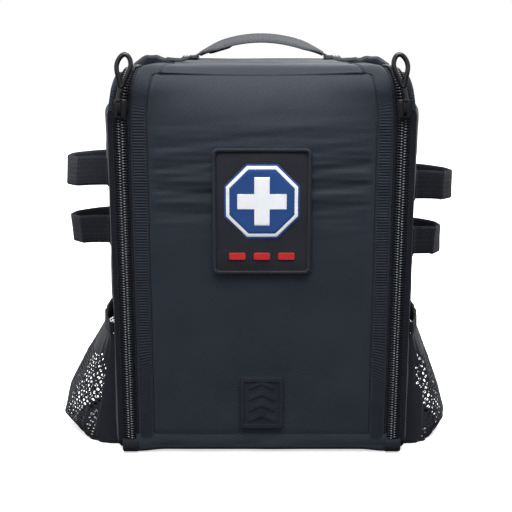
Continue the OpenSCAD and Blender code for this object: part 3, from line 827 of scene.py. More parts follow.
def make_crown():
    """Rear of the top, rounded down to the back and to both sides, tucked under the panel's lip."""
    half = crown_arch()
    length = along(half)
    reach = length[np.argmin(np.abs(half[:, 0] - (CROWN_X - 10.8)) + (half[:, 1] < 310) * 99)]
    s = SHELF_Z - 5 + np.clip(length / reach, 0, 1) * (TOP_S + 19 - SHELF_Z)
    edge = on_front(1, s, TAPE_OUT + 0.3, -1.6)
    beyond = smooth(length, reach, reach + 16)[:, None]
    tuck = stack(half[:, 0], LIP_Y - 11, PACK_TOP - 2.9)
    front = edge * (1 - beyond) + tuck * beyond
    rear_y = BACK_Y - REAR_R
    rows = []
    for t in np.linspace(0, 1, 44):
        y = front[:, 1] + (rear_y - front[:, 1]) * t
        pull = (1 - smooth(t, 0, 0.3))
        rows.append(stack(half[:, 0] + (front[:, 0] - half[:, 0]) * pull, y,
                          half[:, 1] + (front[:, 2] - half[:, 1]) * pull))
    centre = np.array([0, SHELF_Z])
    for turn in np.linspace(0, PI / 2, 9)[1:]:
        inset = REAR_R * (1 - math.cos(turn))
        small = half - np.clip((half - centre) / (40, 6), 0, 1) * inset
        rows.append(stack(small[:, 0], rear_y + REAR_R * math.sin(turn), small[:, 1]))
    last = rows[-1]
    for k in np.linspace(1, 0, 9)[1:]:
        lower = SHELF_Z - 4 + (last[:, 2] - SHELF_Z + 4) * k
        rows.append(stack(last[:, 0], BACK_Y - 0.4 - 5 * (1 - k) ** 2, np.minimum(last[:, 2], lower)))
    rounded = 14.0
    grid = np.array(rows)
    over = np.clip(grid[..., 1] - (BACK_Y - rounded), 0, rounded)
    slim = (CROWN_X - rounded + np.sqrt(rounded**2 - over**2 * 0.92)) / CROWN_X
    grid = grid * stack(slim, 1, 1)
    grid = np.concatenate([grid, grid[:, -2::-1] * (-1, 1, 1)], axis=1)
    soft = smooth(np.arange(len(rows)), 3, 12)[:, None] * smooth(grid[..., 1], BACK_Y, BACK_Y - 16)
    under = bell(grid[..., 1], 46, 30) * smooth(np.abs(grid[..., 0]), 80, 62)
    sunk = 0.5 * rumple(grid, 30, 51) * soft + 1.3 * under * soft
    grid = grid - grid_normals(grid) * sunk[..., None]
    crown = cloth("crown_shell", grid, 2.4, two_tone=True)
    dress(crown, SHELL, "pack_body", ["top_panel"], LINING)
    return crown


def make_gusset():
    """Fabric hinge between the base and the foot of the front panel."""
    profile = curve([(0, SIDE_Y + 12, 0.5), (0, SIDE_Y + 5, 0.7), (0, FRONT_Y + 1.2, 2.6),
                     (0, FRONT_Y + 0.5, 7), (0, FRONT_Y + 0.6, 12), (0, FRONT_Y + 1.4, PANEL_Z0 + 4)], 0.9)
    x = np.linspace(-ZIP_X + 5, ZIP_X - 5, 80)
    grid = stack(x[None, :], profile[:, 1][:, None], profile[:, 2][:, None])
    lift = 1.8 * (1 - smooth(np.abs(x), 84, 106))[None, :] * bell(profile[:, 2], 3, 9)[:, None]
    sag = 0.5 * rumple(grid, 24, 61) * bell(profile[:, 2], 6, 8)[:, None]
    grid = grid + stack(0, sag, lift)
    gusset = cloth("hinge_gusset", grid, 1.2)
    gusset.data.materials.append(SHELL)
    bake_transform(gusset)
    return gusset


def make_zip_ends(side_name, side):
    """The folded tab under the zip's foot, and the loose tape end behind the lip."""
    path = curve([(ZIP_X, FRONT_Y + 0.6, 13), (ZIP_X, FRONT_Y - 2.0, 10), (ZIP_X, FRONT_Y - 2.4, 5),
                  (ZIP_X, FRONT_Y + 1, 1.7), (ZIP_X, FRONT_Y + 8, 1.1), (ZIP_X, FRONT_Y + 15, 1.0)], 0.8)
    foot = strap(f"zip_foot_{side_name}", mirrored(path, side), (1, 0, 0), 13.5, 1.8)
    dress(foot, TAPE, "pack_body", [f"zip_tab_lower_{side_name}"])
    y = LIP_Y + 7
    rise = 1.0 if side < 0 else 0.72
    top = PACK_TOP
    bend = [(108.5, y - 9, top - 12), (105, y - 6, top - 6.5), (99, y - 2, top - 2.6), (91, y, top - 1.3),
            (82, y, top - 1), (73, y, top - 1)]
    path = mirrored(curve(bend, 0.9), side)
    t = np.linspace(0, 1, len(path))
    lift = 3.2 + 3.8 * rise * bell(t, 0.52, 0.42) - 1.4 * smooth(t, 0.75, 1)
    lift = lift + 0.35 * np.sin(t * 31)
    section = np.stack([flat_section(12.5 - 3 * k, 2 * h) for k, h in zip(smooth(t, 0.7, 1), lift)])
    end = build(f"zip_end_{side_name}", *sweep(path, (0, 1, 0.2), section))
    bend = [(80, y + 1, top + 2.6), (73, y + 1, top + 2.0), (66, y + 1.5, top + 1.9),
            (59, y + 2, top + 4.6 * rise)]
    path = mirrored(curve(bend, 0.9), side)
    t = np.linspace(0, 1, len(path))
    section = np.stack([flat_section(9 - 5.5 * k, 1.4 - 0.7 * k) for k in t**2])
    loose = build(f"zip_loose_end_{side_name}", *sweep(path, (0, 1, 0.25), section))
    dress(loose, TAPE, "pack_body")
    dress(end, TAPE, "pack_body", [f"zip_tab_upper_{side_name}"])


# ---------- sliders and pulls ----------


def make_pull(side_name, side):
    """A glossy cord loop on a moulded eye that turns on the slider's pin."""
    lower, upper = low("pull_right"), high("pull_right")
    eye = np.array([ZIP_X, (lower[1] + upper[1]) / 2, lower[2] + 2.3])
    tall = upper[2] - eye[2] - 2.4
    half = (upper[0] - lower[0]) / 2 - 0.9
    turn = np.linspace(0, 2 * PI, 56, endpoint=False)
    rise = (1 - np.cos(turn)) / 2
    foot = tall * 0.30
    wide = (half + 0.9) * np.sin(turn) * (0.45 + 0.65 * smooth(rise, 0.05, 0.8))
    swing = eye[1] - 0.6 * bell(rise, 0.5, 0.5)
    loop = stack(ZIP_X - 2.6 - 3.6 * rise + wide, swing, eye[2] + foot + (tall - foot) * rise)
    cord = rod(f"pull_cord_{side_name}", mirrored(loop, side), (0, 1, 0), 1.95, 12, closed=True)
    dress(cord, GLOSS, f"zip_pull_{side_name}", [f"pull_{side_name}"])
    stem = curve([eye + (0, 0, -2.0), eye + (0, 0, 1.5), eye + (-0.9, 0, 5), eye + (-1.9, 0, foot - 3),
                  eye + (-2.7, 0, foot + 1.8)], 0.7)
    t = np.linspace(0, 1, len(stem))
    ends = np.sqrt(np.clip(1 - np.abs(2 * t - 1) ** 7, 0.02, 1))
    radii = stack((1.9 + 0.9 * t) * ends, (1.5 + 0.5 * bell(t, 0.1, 0.2)) * ends)
    section = round_section(1, 12)[None] * radii[:, None]
    points, faces, uv = sweep(mirrored(stem, side), (1, 0, 0), section)
    clip = build(f"pull_eye_{side_name}", points, faces, uv, 80)
    dress(clip, GLOSS, f"zip_pull_{side_name}")


def make_slider(side_name, side):
    """A shield-shaped zip slider with folded flanges and the bridge that holds the pull."""
    start, end = low("slider_right"), high("slider_right")
    mid = (start[2] + end[2]) / 2
    z = np.linspace(mid - 8.5, mid + 8.5, 22)
    v = (z - mid) / 8.5
    half = (4.1 + 1.6 * smooth(v, -0.6, 0.7)) * np.sqrt(np.clip(1 - np.abs(v) ** 7, 0.05, 1))
    u = np.linspace(-1, 1, 15)
    x = ZIP_X + u[None, :] * half[:, None]
    rise = 1.5 - 0.9 * np.abs(u[None, :]) ** 4 - 0.5 * np.abs(v[:, None]) ** 6
    grid = stack(x, FRONT_Y - 2.2 - rise, np.broadcast_to(z[:, None], x.shape))
    body = f"zip_slider_{side_name}"
    shield = cloth(f"slider_{side_name}_shield", facing(mirrored(grid, side), side), 1.5)
    dress(shield, LACQUER, body, [f"slider_{side_name}"])
    for k in (-1, 1):
        rail = stack(ZIP_X + k * (half[2:-2] + 0.1), FRONT_Y - 2.6, z[2:-2])
        flange = strap(f"slider_{side_name}_flange_{k + 2}", mirrored(rail, side), (0, 1, 0), 1.9, 1.1)
        dress(flange, LACQUER, body)
    arch = curve([(ZIP_X, FRONT_Y - 3.2, mid - 4.5), (ZIP_X, FRONT_Y - 5.6, mid - 3.2),
                  (ZIP_X, FRONT_Y - 6.6, mid + 1.5), (ZIP_X, FRONT_Y - 6.4, mid + 6.4),
                  (ZIP_X, FRONT_Y - 3.4, mid + 7.6)], 0.6)
    bridge = strap(f"slider_{side_name}_bridge", mirrored(arch, side), (1, 0, 0), 3.4, 1.5)
    dress(bridge, LACQUER, body)


def ease_edges(node, material, ease):
    """A moulded CAD part stays as it is, with eased edges and its own material."""
    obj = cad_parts[node]
    obj.data.materials.clear()
    obj.data.materials.append(material)
    bevel = obj.modifiers.new("ease", "BEVEL")
    bevel.width = ease * MM
    bevel.segments = 3
    bevel.limit_method = "ANGLE"
    bevel.angle_limit = math.radians(35)


# ---------- patch and badge ----------


def rounded_half(at, start, end, half, radius):
    """Half width of a rounded rectangle at a height between start and end."""
    gap = np.minimum(at - start, end - at)
    gap = np.clip(gap, 0, radius)
    return half - radius + np.sqrt(radius**2 - (radius - gap) ** 2)


def even(outline, step=0.8, least=12):
    """A closed outline with points about step apart."""
    loop = np.concatenate([outline, outline[:1]])
    at = along(loop)
    want = np.linspace(0, at[-1], max(least, round(at[-1] / step)), endpoint=False)
    return stack(np.interp(want, at, loop[:, 0]), np.interp(want, at, loop[:, 1]))


def rounded_outline(half_x, half_z, radius, step=1.0):
    """Outline of a rounded rectangle about its centre, as X and Z."""
    turn = np.linspace(0, PI / 2, 8)
    corner = stack(np.cos(turn), np.sin(turn)) * radius
    parts = []
    for k, (sx, sz) in enumerate(((1, 1), (-1, 1), (-1, -1), (1, -1))):
        spin = np.array([[math.cos(k * PI / 2), math.sin(k * PI / 2)],
                         [-math.sin(k * PI / 2), math.cos(k * PI / 2)]])
        parts.append(corner @ spin + (sx * (half_x - radius), sz * (half_z - radius)))
    return even(np.concatenate(parts), step, 0)


def sewn_plate(name, start, end, y, thick, radius, way, bulge=None, step=4.0, layer=1.0):
    """A sewn piece in the XZ plane: rounded corners, pulled-down edges and a soft face.

    start and end are its X and Z limits, y is its back, and way is +1 or -1 along Y.
    """
    rows = max(8, round((end[1] - start[1]) / step))
    columns = max(8, round((end[0] - start[0]) / step))
    v = np.sin(np.linspace(-PI / 2, PI / 2, rows)) * 0.35 + np.linspace(-1, 1, rows) * 0.65
    u = np.sin(np.linspace(-PI / 2, PI / 2, columns)) * 0.35 + np.linspace(-1, 1, columns) * 0.65
    z = (start[1] + end[1]) / 2 + v * (end[1] - start[1]) / 2
    half = rounded_half(z, start[1], end[1], (end[0] - start[0]) / 2, radius)
    x = (start[0] + end[0]) / 2 + u[None, :] * half[:, None]
    z = np.broadcast_to(z[:, None], x.shape)
    edge = (1 - np.abs(u[None, :]) ** 12) * (1 - np.abs(v[:, None]) ** 12)
    rise = thick * (0.25 + 0.75 * edge)
    if bulge is not None:
        rise = rise + bulge(x, z, u[None, :], v[:, None]) * edge
    grid = stack(x, y + way * rise, z)
    return cloth(name, grid if way > 0 else grid[:, ::-1], layer)


def thread_border(name, outline, y, width, height, pitch, material, body):
    """An overlocked border: thread after thread lying across the edge of a patch."""
    ahead = np.roll(outline, -1, axis=0) - np.roll(outline, 1, axis=0)
    loop = np.concatenate([outline, outline[:1]])
    at = along(loop)
    want = np.arange(0, at[-1], pitch)
    closed = np.concatenate([ahead, ahead[:1]])
    x, z = np.interp(want, at, loop[:, 0]), np.interp(want, at, loop[:, 1])
    way = unit(stack(np.interp(want, at, closed[:, 0]), 0, np.interp(want, at, closed[:, 1])))
    across = np.cross(way, (0, 1, 0)) + way * 0.18
    rows = scatter(bead(width, pitch * 1.25, height), stack(x, y, z), across, (0, -1, 0))
    border = build(name, *rows, sharp=80)
    dress(border, material, body)
    return border


def raised_shape(name, outline, centre, y, height, material, pitch=1.0, ease=0.35):
    """An embroidered area: its outline raised with soft edges and thread ridges across it."""
    ring = outline - centre
    size = np.linalg.norm(ring, axis=1).max()
    rings = [(1.0, 0.0), (1.0, height * 0.6), (1 - ease / size, height)]
    rings += [(k, height) for k in np.linspace(1 - ease / size, 0.02, 14)[1:]]
    rows = []
    for share, rise in rings:
        p = ring * share + centre
        ridge = 0.05 * np.sin(2 * PI * (p[:, 0] + p[:, 1] * 0.3) / pitch) if rise >= height else 0.0
        rows.append(stack(p[:, 0], y - rise - ridge, p[:, 1]))
    grid = np.array(rows)
    count = len(outline)
    faces = grid_faces(len(rows), count, wrap=True).tolist()
    faces.append(list(range(count)))
    faces.append(list(range((len(rows) - 1) * count, len(rows) * count))[::-1])
    obj = build(name, grid.reshape(-1, 3), faces, sharp=60)
    dress(obj, material, "patch_body")
    return obj


def octagon(radius, centre):
    turn = np.arange(8) * PI / 4 + PI / 8
    return even(stack(np.cos(turn), np.sin(turn)) * radius + centre)


def make_patch():
    """Removable patch: ribbed ground, overlocked border and a stitched octagon with a plain cross."""
    start, end = low("patch_border"), high("patch_border")
    mid = (start + end) / 2
    ground_y = high("patch_face")[1]
    face_y = ground_y - 2.0
    half = (end - start) / 2

    def ribs(x, z, u, v):
        rib = np.abs(np.sin(PI * x / 1.5)) ** 0.6
        return 0.22 * rib + 0.25 * rumple(stack(x, 0, z), 40, 71) - 0.2 * u**2 * v**2

    ground = sewn_plate("patch_ground", start[[0, 2]] + 0.8, end[[0, 2]] - 0.8, ground_y, 1.9, 3.5, -1,
                        ribs, step=0.75, layer=1.6)
    dress(ground, PATCH_CLOTH, "patch_body", ["patch_face"])
    outline = rounded_outline(half[0] - 1.6, half[2] - 1.6, 3.2) + mid[[0, 2]]
    border = thread_border("patch_border_thread", outline, ground_y - 1.5, 3.6, 2.5, 0.62,
                           THREAD, "patch_body")
    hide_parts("patch_border")
    centre = np.array([0, high("patch_emblem")[2] - 33 * math.cos(PI / 8)])
    rim = raised_shape("emblem_rim", octagon(33, centre), centre, face_y - 0.1, 0.25, BLUE_THREAD)
    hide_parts("patch_emblem")
    raised_shape("emblem_white", octagon(31.4, centre), centre, face_y - 0.1, 0.42, WHITE_THREAD)
    raised_shape("emblem_field", octagon(28.6, centre), centre, face_y - 0.1, 0.58, BLUE_THREAD)
    arm, wide = 20.0, 6.2
    cross = [(wide, wide), (wide, arm), (-wide, arm), (-wide, wide), (-arm, wide), (-arm, -wide),
             (-wide, -wide), (-wide, -arm), (wide, -arm), (wide, -wide), (arm, -wide), (arm, wide)]
    raised_shape("emblem_cross", even(np.array(cross)) + centre, centre, face_y - 0.1, 0.82, WHITE_THREAD)
    bar = rounded_outline(6.6, 2.9, 1.0, 0.7)
    bar_z = low("patch_emblem")[2] + 3.5
    for k in (-1, 0, 1):
        spot = np.array([k * 20.0, bar_z])
        raised_shape(f"emblem_bar_{k + 2}", bar + spot, spot, face_y - 0.1, 0.5, RED_THREAD, 0.8)


def make_loop_field():
    """Soft loop fabric behind the patch."""
    start, end = low("loop_field"), high("loop_field")

    def nap(x, z, u, v):
        return 0.12 * rumple(stack(x, 0, z), 1.6, 73)

    field = sewn_plate("loop_field_cloth", start[[0, 2]], end[[0, 2]], FRONT_Y + 0.2, 0.8, 2, -1,
                       nap, step=1.0, layer=0.7)
    dress(field, BINDING, "front_panel_body", ["loop_field"])


def make_badge():
    """The rubber badge is the CAD part with eased edges, on a sewn rim."""
    ease_edges("badge", BADGE_RUBBER, 0.35)
    start, end = low("badge"), high("badge")
    half = (end - start) / 2 + 0.6
    loop = rounded_outline(half[0], half[2], 2.4) + ((start + end) / 2)[[0, 2]]
    path = stack(loop[:, 0], FRONT_Y - 0.25, loop[:, 1])
    sew("badge_stitches", stitch_row(path, (0, -1, 0), 1.8, 0.7, 0.5), "front_panel_body")


# ---------- webbing loops and mesh pockets ----------


def make_side_loop(node, side):
    """Webbing loop sewn to the side, a little crushed and hanging."""
    start, end = low(node), high(node)
    reach = max(abs(start[0]), abs(end[0])) - SIDE_MID
    seed = round(start[2])
    r = np.random.default_rng(seed)
    z = (start[2] + end[2]) / 2
    sag = r.uniform(0.6, 1.8)
    foot = SIDE_MID - 0.6
    bend = [(foot, -47, z), (foot, -39, z), (foot + reach * 0.36, -36.5, z - 0.3 * sag),
            (foot + reach * 0.66, -36.3, z - 0.7 * sag), (foot + reach * 0.71, -35.4, z - 0.8 * sag),
            (foot + reach * 0.96, -26.5, z - sag), (foot + reach * 0.99, -22, z - sag),
            (foot + reach * 0.86, -12, z - 0.8 * sag),
            (foot + reach * 0.4, -4, z - 0.3 * sag), (foot, 0, z), (foot, 9, z)]
    path = curve(bend, 1.2)
    path[:, 0] += np.where(path[:, 1] > -3, side_surface(path[:, 1]) - SIDE_MID, 0)
    path[:, 0] += np.where(path[:, 1] < -37, side_surface(path[:, 1]) - SIDE_MID, 0)
    t = np.linspace(0, 1, len(path))
    lean = 0.16 * np.sin(PI * t) * r.choice([-1, 1])
    band = strap(f"{node}_webbing", mirrored(path, side), stack(lean * 0.3, lean, 1), 24.6, 1.7)
    dress(band, WEBBING, "pack_body", [node])
    rows = []
    for y in (-43, 5):
        line = stack(side_surface(y) + 1.0, y, np.linspace(z - 10.5, z + 10.5, 16))
        rows.append(stitch_row(mirrored(line, side), (side, 0, 0), 1.8, 0.6, 0.6))
    sew(f"{node}_stitches", merged(*rows), "pack_body")


POCKET_HALF = 54
NET_PITCH = 4.0
NET_HOLE = 2.9
POCKET_Z = np.array([0.3, 5, 15, 36, 70, 96, 104, 113])
POCKET_SHARE = np.array([0.6, 0.82, 1.0, 0.87, 0.56, 0.2, 0.11, 0.1])


def pocket_point(side, reach, u, z, h=0.0):
    """A point of a side pocket: u from -1 at its front seam to 1 at its rear one."""
    u, z, h = np.broadcast_arrays(*[np.asarray(v, float) for v in (u, z, h)])
    share = np.interp(z, POCKET_Z, POCKET_SHARE)
    bow = np.cos(u * PI / 2) ** 0.85
    y = POCKET_HALF * np.sin(u * PI / 2)
    fullness = smooth(z, 108, 60) * (1 - 0.3 * smooth(z, 20, 0))
    gathers = smooth(u, -0.45, -0.75)
    pleat = 0.5 * np.sin(u * 17 + 2.2 * np.sin(z / 26 + side))
    pleat = pleat + 3.0 * gathers * np.sin(u * 36 + 1.6 * np.sin(z / 17 + side))
    slump = 2.2 * rumple(stack(u * 60, 0, z), 44, 81 + side)
    out = (reach - 1.5) * share * bow + (1.4 * pleat + slump - 1.6) * fullness * bow + h
    sewn = 4.5 * smooth(np.abs(u), 0.92, 1.0)
    return stack(side * (side_surface(y) + 0.5 + np.maximum(out, 0.1) - sewn), y, z)


def hexagon_net(width, height, pitch, hole_at, solid):
    """A knitted net: hexagons round holes, as flat points and quads. Some cells stay closed."""
    turn = np.arange(12) * PI / 6
    corner = pitch / math.sqrt(3)
    out_r = np.where(np.arange(12) % 2 == 1, corner, corner * math.cos(PI / 6))
    outer = stack(np.cos(turn), np.sin(turn)) * out_r[:, None]
    inner = stack(np.cos(turn), np.sin(turn)) / 2
    rows = int(height / (pitch * 0.866))
    cells = []
    for i in range(rows):
        for j in range(int(width / pitch)):
            cells.append(((j + 0.5 * (i % 2) + 0.25) * pitch - width / 2, (i + 0.5) * pitch * 0.866))
    cells = np.array(cells)
    closed = solid(cells[:, 0], cells[:, 1])
    tight = np.where(closed, 0.1, hole_at(cells[:, 0], cells[:, 1]))[:, None, None]
    points = np.concatenate([cells[:, None] + outer, cells[:, None] + inner * tight], axis=1).reshape(-1, 2)
    key, place = np.unique(np.round(points, 2), axis=0, return_inverse=True)
    k = np.arange(12)
    ring = np.stack([k, (k + 1) % 12, (k + 1) % 12 + 12, k + 12], -1)
    quads = (ring[None] + (np.arange(len(cells)) * 24)[:, None, None]).reshape(-1, 4)
    return key, place.reshape(-1)[quads]


def flat_area(points, quads):
    """Area of flat quads: the net's cloth without its holes."""
    x, y = np.moveaxis(points[quads], -1, 0)
    return 0.5 * np.abs((x * np.roll(y, -1, 1) - np.roll(x, -1, 1) * y).sum(1)).sum()


def make_pocket_base(node, side, reach):
    """The net's floor, from the bag's side to the pocket's foot."""
    flat, quads = hexagon_net(132, reach + 2, NET_PITCH, lambda u, v: NET_HOLE + 0 * u,
                              lambda u, v: v > reach - 2)
    u = np.clip(flat[:, 0] / 66, -1, 1)
    outer = pocket_point(side, reach, u, 1.6)
    inner = stack(side * (side_surface(POCKET_HALF * np.sin(u * PI / 2)) - 4), outer[:, 1], 1.0)
    share = np.clip(flat[:, 1:] / (reach + 2), 0, 1)
    rise = 1.2 + 0.5 * (1 - share[:, 0])
    top = inner * (1 - share) + outer * share
    upper = stack(top[:, 0], top[:, 1], rise + 0.25)
    lower = stack(top[:, 0], top[:, 1], rise - 0.25)
    base = two_layers(f"{node}_base", upper, lower, quads, flat, 60)
    dress(base, NET, "pack_body")


def make_mesh_pocket(side_name, side):
    """Gathered net pocket with an elastic binding, sewn to the side and the base."""
    node = f"mesh_pocket_{side_name}"
    start, end = low(node), high(node)
    reach = max(abs(start[0]), abs(end[0])) - SIDE_MID
    tall = 107.0
    wide = 160.0 if side < 0 else 147.0

    def solid(u, v):
        gathered = 15 + 5 * np.sin(v / 15) + 7 * smooth(v, 50, 100)
        seam = (u + wide / 2 < gathered) | (u > wide / 2 - 5)
        return seam | (v > tall - 22 + 5 * np.sin(u / 21)) | (v < 3)

    def hole_at(u, v):
        return NET_HOLE + 0.65 * smooth(u, -4, 12)

    flat, quads = hexagon_net(wide, tall, NET_PITCH, hole_at, solid)
    u = np.clip(flat[:, 0] / (wide / 2 - 1), -1, 1)
    z = 0.6 + np.clip(flat[:, 1], 0, None) * (end[2] + 1.5 - 0.6) / tall
    front = pocket_point(side, reach, u, z, 0.35)
    back = pocket_point(side, reach, u, z, -0.35)
    quads = quads if side < 0 else quads[:, ::-1]
    net = two_layers(f"{node}_net", front, back, quads, flat, 60)
    dress(net, NET, "pack_body", [node])
    rim = np.linspace(-1, 1, 90)
    lift = 0.5 * rumple(stack(rim * 60, 0, 0), 5, 83)
    path = pocket_point(side, reach, rim, end[2] + 3.6, 0.6 + lift)
    elastic = strap(f"{node}_binding", path, (0, 0, 1), 9.5, 2.2)
    dress(elastic, BINDING, "pack_body", [f"pocket_binding_{side_name}"])
    rows = stitch_row(pocket_point(side, reach, rim, end[2] + 0.6, 1.9), (side, 0, 0), 2.0, 0.7, 0.5)
    seam = sew(f"{node}_stitches", rows, "pack_body")
    edge = [pocket_point(side, reach, k * 0.985, np.linspace(1.5, end[2] + 5, 50), 0.4) for k in (-1, 1)]
    for k, line in enumerate(edge):
        piping = strap(f"{node}_seam_{k + 1}", line, (0, 1, 0), 5, 1.6)
        dress(piping, BINDING, "pack_body")
    make_pocket_base(node, side, reach)
    path = pocket_point(side, reach, np.linspace(-1, 1, 80), 2.6, 0.3)
    foot = strap(f"{node}_foot", path, (0, 0, 1), 4, 1.5)
    dress(foot, BINDING, "pack_body")
    cut = flat_area(flat, quads) * MM * MM


# ---------- handle ----------


HANDLE_LEAN = math.radians(15)
HANDLE_RISE = 15.0


def handle_point(x, up=0.0):
    """A point of the handle's middle line at x, up above it."""
    half = high("grab_handle")[0]
    rise = HANDLE_RISE
    radius = (half**2 + rise**2) / (2 * rise)
    local = np.sqrt(np.maximum(radius**2 - np.asarray(x, float) ** 2, 0)) - radius + rise + up
    turn = HANDLE_LEAN
    return stack(x, 50 - math.sin(turn) * local, 331.2 + math.cos(turn) * local)


def make_handle():
    """Grey webbing grip with bunched ends, held by dark sewn webbing, with a dark block under its left end as
    painted shade.
    """
    half = high("grab_handle")[0]
    turn = HANDLE_LEAN
    across = (0, math.cos(turn), math.sin(turn))
    x = np.linspace(-half + 1, half - 1, 120)
    pinch = smooth(np.abs(x), half * 0.62, half)
    section = np.stack([flat_section(24.5 - 18.5 * k, 2.6 + 0.5 * k) for k in pinch])
    sag = 0.5 * rumple(stack(x, 0, 0), 40, 91)
    points, faces, uv = sweep(handle_point(x, sag), across, section)
    grip = build("grab_handle_grip", points, faces, uv)
    dress(grip, HANDLE_CLOTH, "grab_handle_body", ["grab_handle"])
    rows = []
    for y in (-8.5, 8.5):
        line = handle_point(np.linspace(-0.6 * half, 0.6 * half, 60), 1.4) + np.array(across) * y
        rows.append(stitch_row(line, (0, -math.sin(turn), math.cos(turn)), 2.4, 1.0, 0.5))
    sew("handle_stitches", merged(*rows), "grab_handle_body")
    # Painted shade: a dark webbing block under the left end only stands in for the shade beneath the handle.
    x = np.linspace(-half + 9, -0.44 * half, 26)
    t = np.linspace(0, 1, 26)
    deep = 3.4 * np.sqrt(np.clip(1 - (2 * t - 0.9) ** 4, 0.03, 1))
    section = np.stack([flat_section(8 + 8 * k, d) for k, d in zip(t, deep)])
    points, faces, uv = sweep(handle_point(x, -0.9 - deep / 2), across, section)
    left_shade_block = build("handle_left_shade_block", points, faces, uv)
    dress(left_shade_block, WEBBING, "grab_handle_body")
    for side_name, side in SIDES.items():
        make_handle_end(side_name, side, half)


def make_handle_end(side_name, side, half):
    start, end = low("handle_anchor_right"), high("handle_anchor_right")
    y = 49.0
    top = PACK_TOP + 0.7
    path = curve([(start[0] - 1, y, top), (end[0] - 4, y, top), (end[0] + 1, y, top - 0.5)], 1.0)
    tab = strap(f"handle_tab_{side_name}", mirrored(path, side), (0, 1, 0), 20, 1.5)
    dress(tab, WEBBING, "pack_body", [f"handle_anchor_{side_name}"])
    inner = handle_point(half - 5.5, 0.2)
    path = curve([(end[0] - 6, y, top + 0.8), (start[0] + 2.5, y, top + 1.0), (half + 0.9, 50, 331.0),
                  tuple(inner)], 0.8)
    join = strap(f"handle_fold_{side_name}", mirrored(path, side), (0, 1, 0), 10.5, 2.2)
    join.data.materials.append(HANDLE_CLOTH)
    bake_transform(join)
    box = rounded_outline((end[0] - start[0]) / 2 - 1, 7, 0.6, 0.8)
    line = stack(box[:, 0] + (start[0] + end[0]) / 2 + 1, box[:, 1] + y, top + 1.1)
    seam = build(f"handle_box_{side_name}", *stitch_row(mirrored(line, side), (0, 0, 1), 1.8, 0.6, 0.5))
    dress(seam, THREAD, "pack_body")


# ---------- back pads and shoulder straps ----------


def pillow(name, z, left, right, middle_y, thick, inset=1.5, columns=26):
    """A closed crowned form lofted up Z between a left and a right edge."""
    turn = np.linspace(0, 2 * PI, columns * 2, endpoint=False)
    across = np.sign(np.cos(turn)) * np.abs(np.cos(turn)) ** 0.75
    deep = np.sign(np.sin(turn)) * np.abs(np.sin(turn)) ** 0.8
    middle = (left + right) / 2
    half = np.maximum((right - left) / 2 - inset, 2)
    x = middle[:, None] + half[:, None] * across[None, :]
    y = middle_y[:, None] + thick[:, None] / 2 * deep[None, :]
    grid = stack(x, y, z[:, None])
    faces = grid_faces(len(z), len(turn), wrap=True).tolist()
    count = len(turn)
    faces.append(list(range(count))[::-1])
    faces.append(list(range((len(z) - 1) * count, len(z) * count)))
    return build(name, grid.reshape(-1, 3), faces, sharp=180)


def settle(obj):
    """The mesh as its modifiers leave it, kept as the object's own mesh."""
    made = bpy.data.meshes.new_from_object(obj.evaluated_get(bpy.context.evaluated_depsgraph_get()))
    obj.modifiers.clear()
    obj.data = made


def mesh_points(mesh):
    flat = np.zeros(len(mesh.vertices) * 3, np.float32)
    mesh.vertices.foreach_get("co", flat)
    return flat.reshape(-1, 3).astype(float)


def set_points(mesh, points):
    mesh.vertices.foreach_set("co", points.astype(np.float32).ravel())
    mesh.update()


def inflate(obj, voxel=4.5, cap=4.0, pressure=4.0):
    """Swells a pad as sewn cloth full of foam."""
    remesh = obj.modifiers.new("remesh", "REMESH")
    remesh.mode = "VOXEL"
    remesh.voxel_size = voxel * MM
    settle(obj)
    start = mesh_points(obj.data)
    swell = obj.modifiers.new("cloth", "CLOTH")
    swell.settings.use_pressure = True
    swell.settings.uniform_pressure_force = pressure
    swell.settings.effector_weights.gravity = 0
    swell.settings.quality = 5
    for step in range(1, 21):
        bpy.context.scene.frame_set(step)
    settle(obj)
    bpy.context.scene.frame_set(1)
    move = mesh_points(obj.data) - start
    far = np.linalg.norm(move, axis=1, keepdims=True)
    set_points(obj.data, start + move * np.minimum(1, cap * MM / np.maximum(far, 1e-9)))
    smoother = obj.modifiers.new("subdivide", "SUBSURF")
    smoother.levels = 1
    smoother.render_levels = 1
    settle(obj)


def finish_pad(obj, channel, limits):
    """Sewn channels and creases, kept inside the limits along Y, then cloth coordinates."""
    p = mesh_points(obj.data) / MM
    middle = (limits[0] + limits[1]) / 2
    far = np.sign(p[:, 1] - middle)
    p[:, 1] -= far * channel(p[:, 0], p[:, 2]) * smooth(np.abs(p[:, 1] - middle), 0.5, 3)
    p += 0.35 * rumple(p, 16, 97)[:, None] * stack(0.4, far, 0)
    p[:, 1] = np.clip(p[:, 1], limits[0], limits[1])
    set_points(obj.data, p * MM)
    cloth_map(obj.data, p)
    obj.data.shade_smooth()


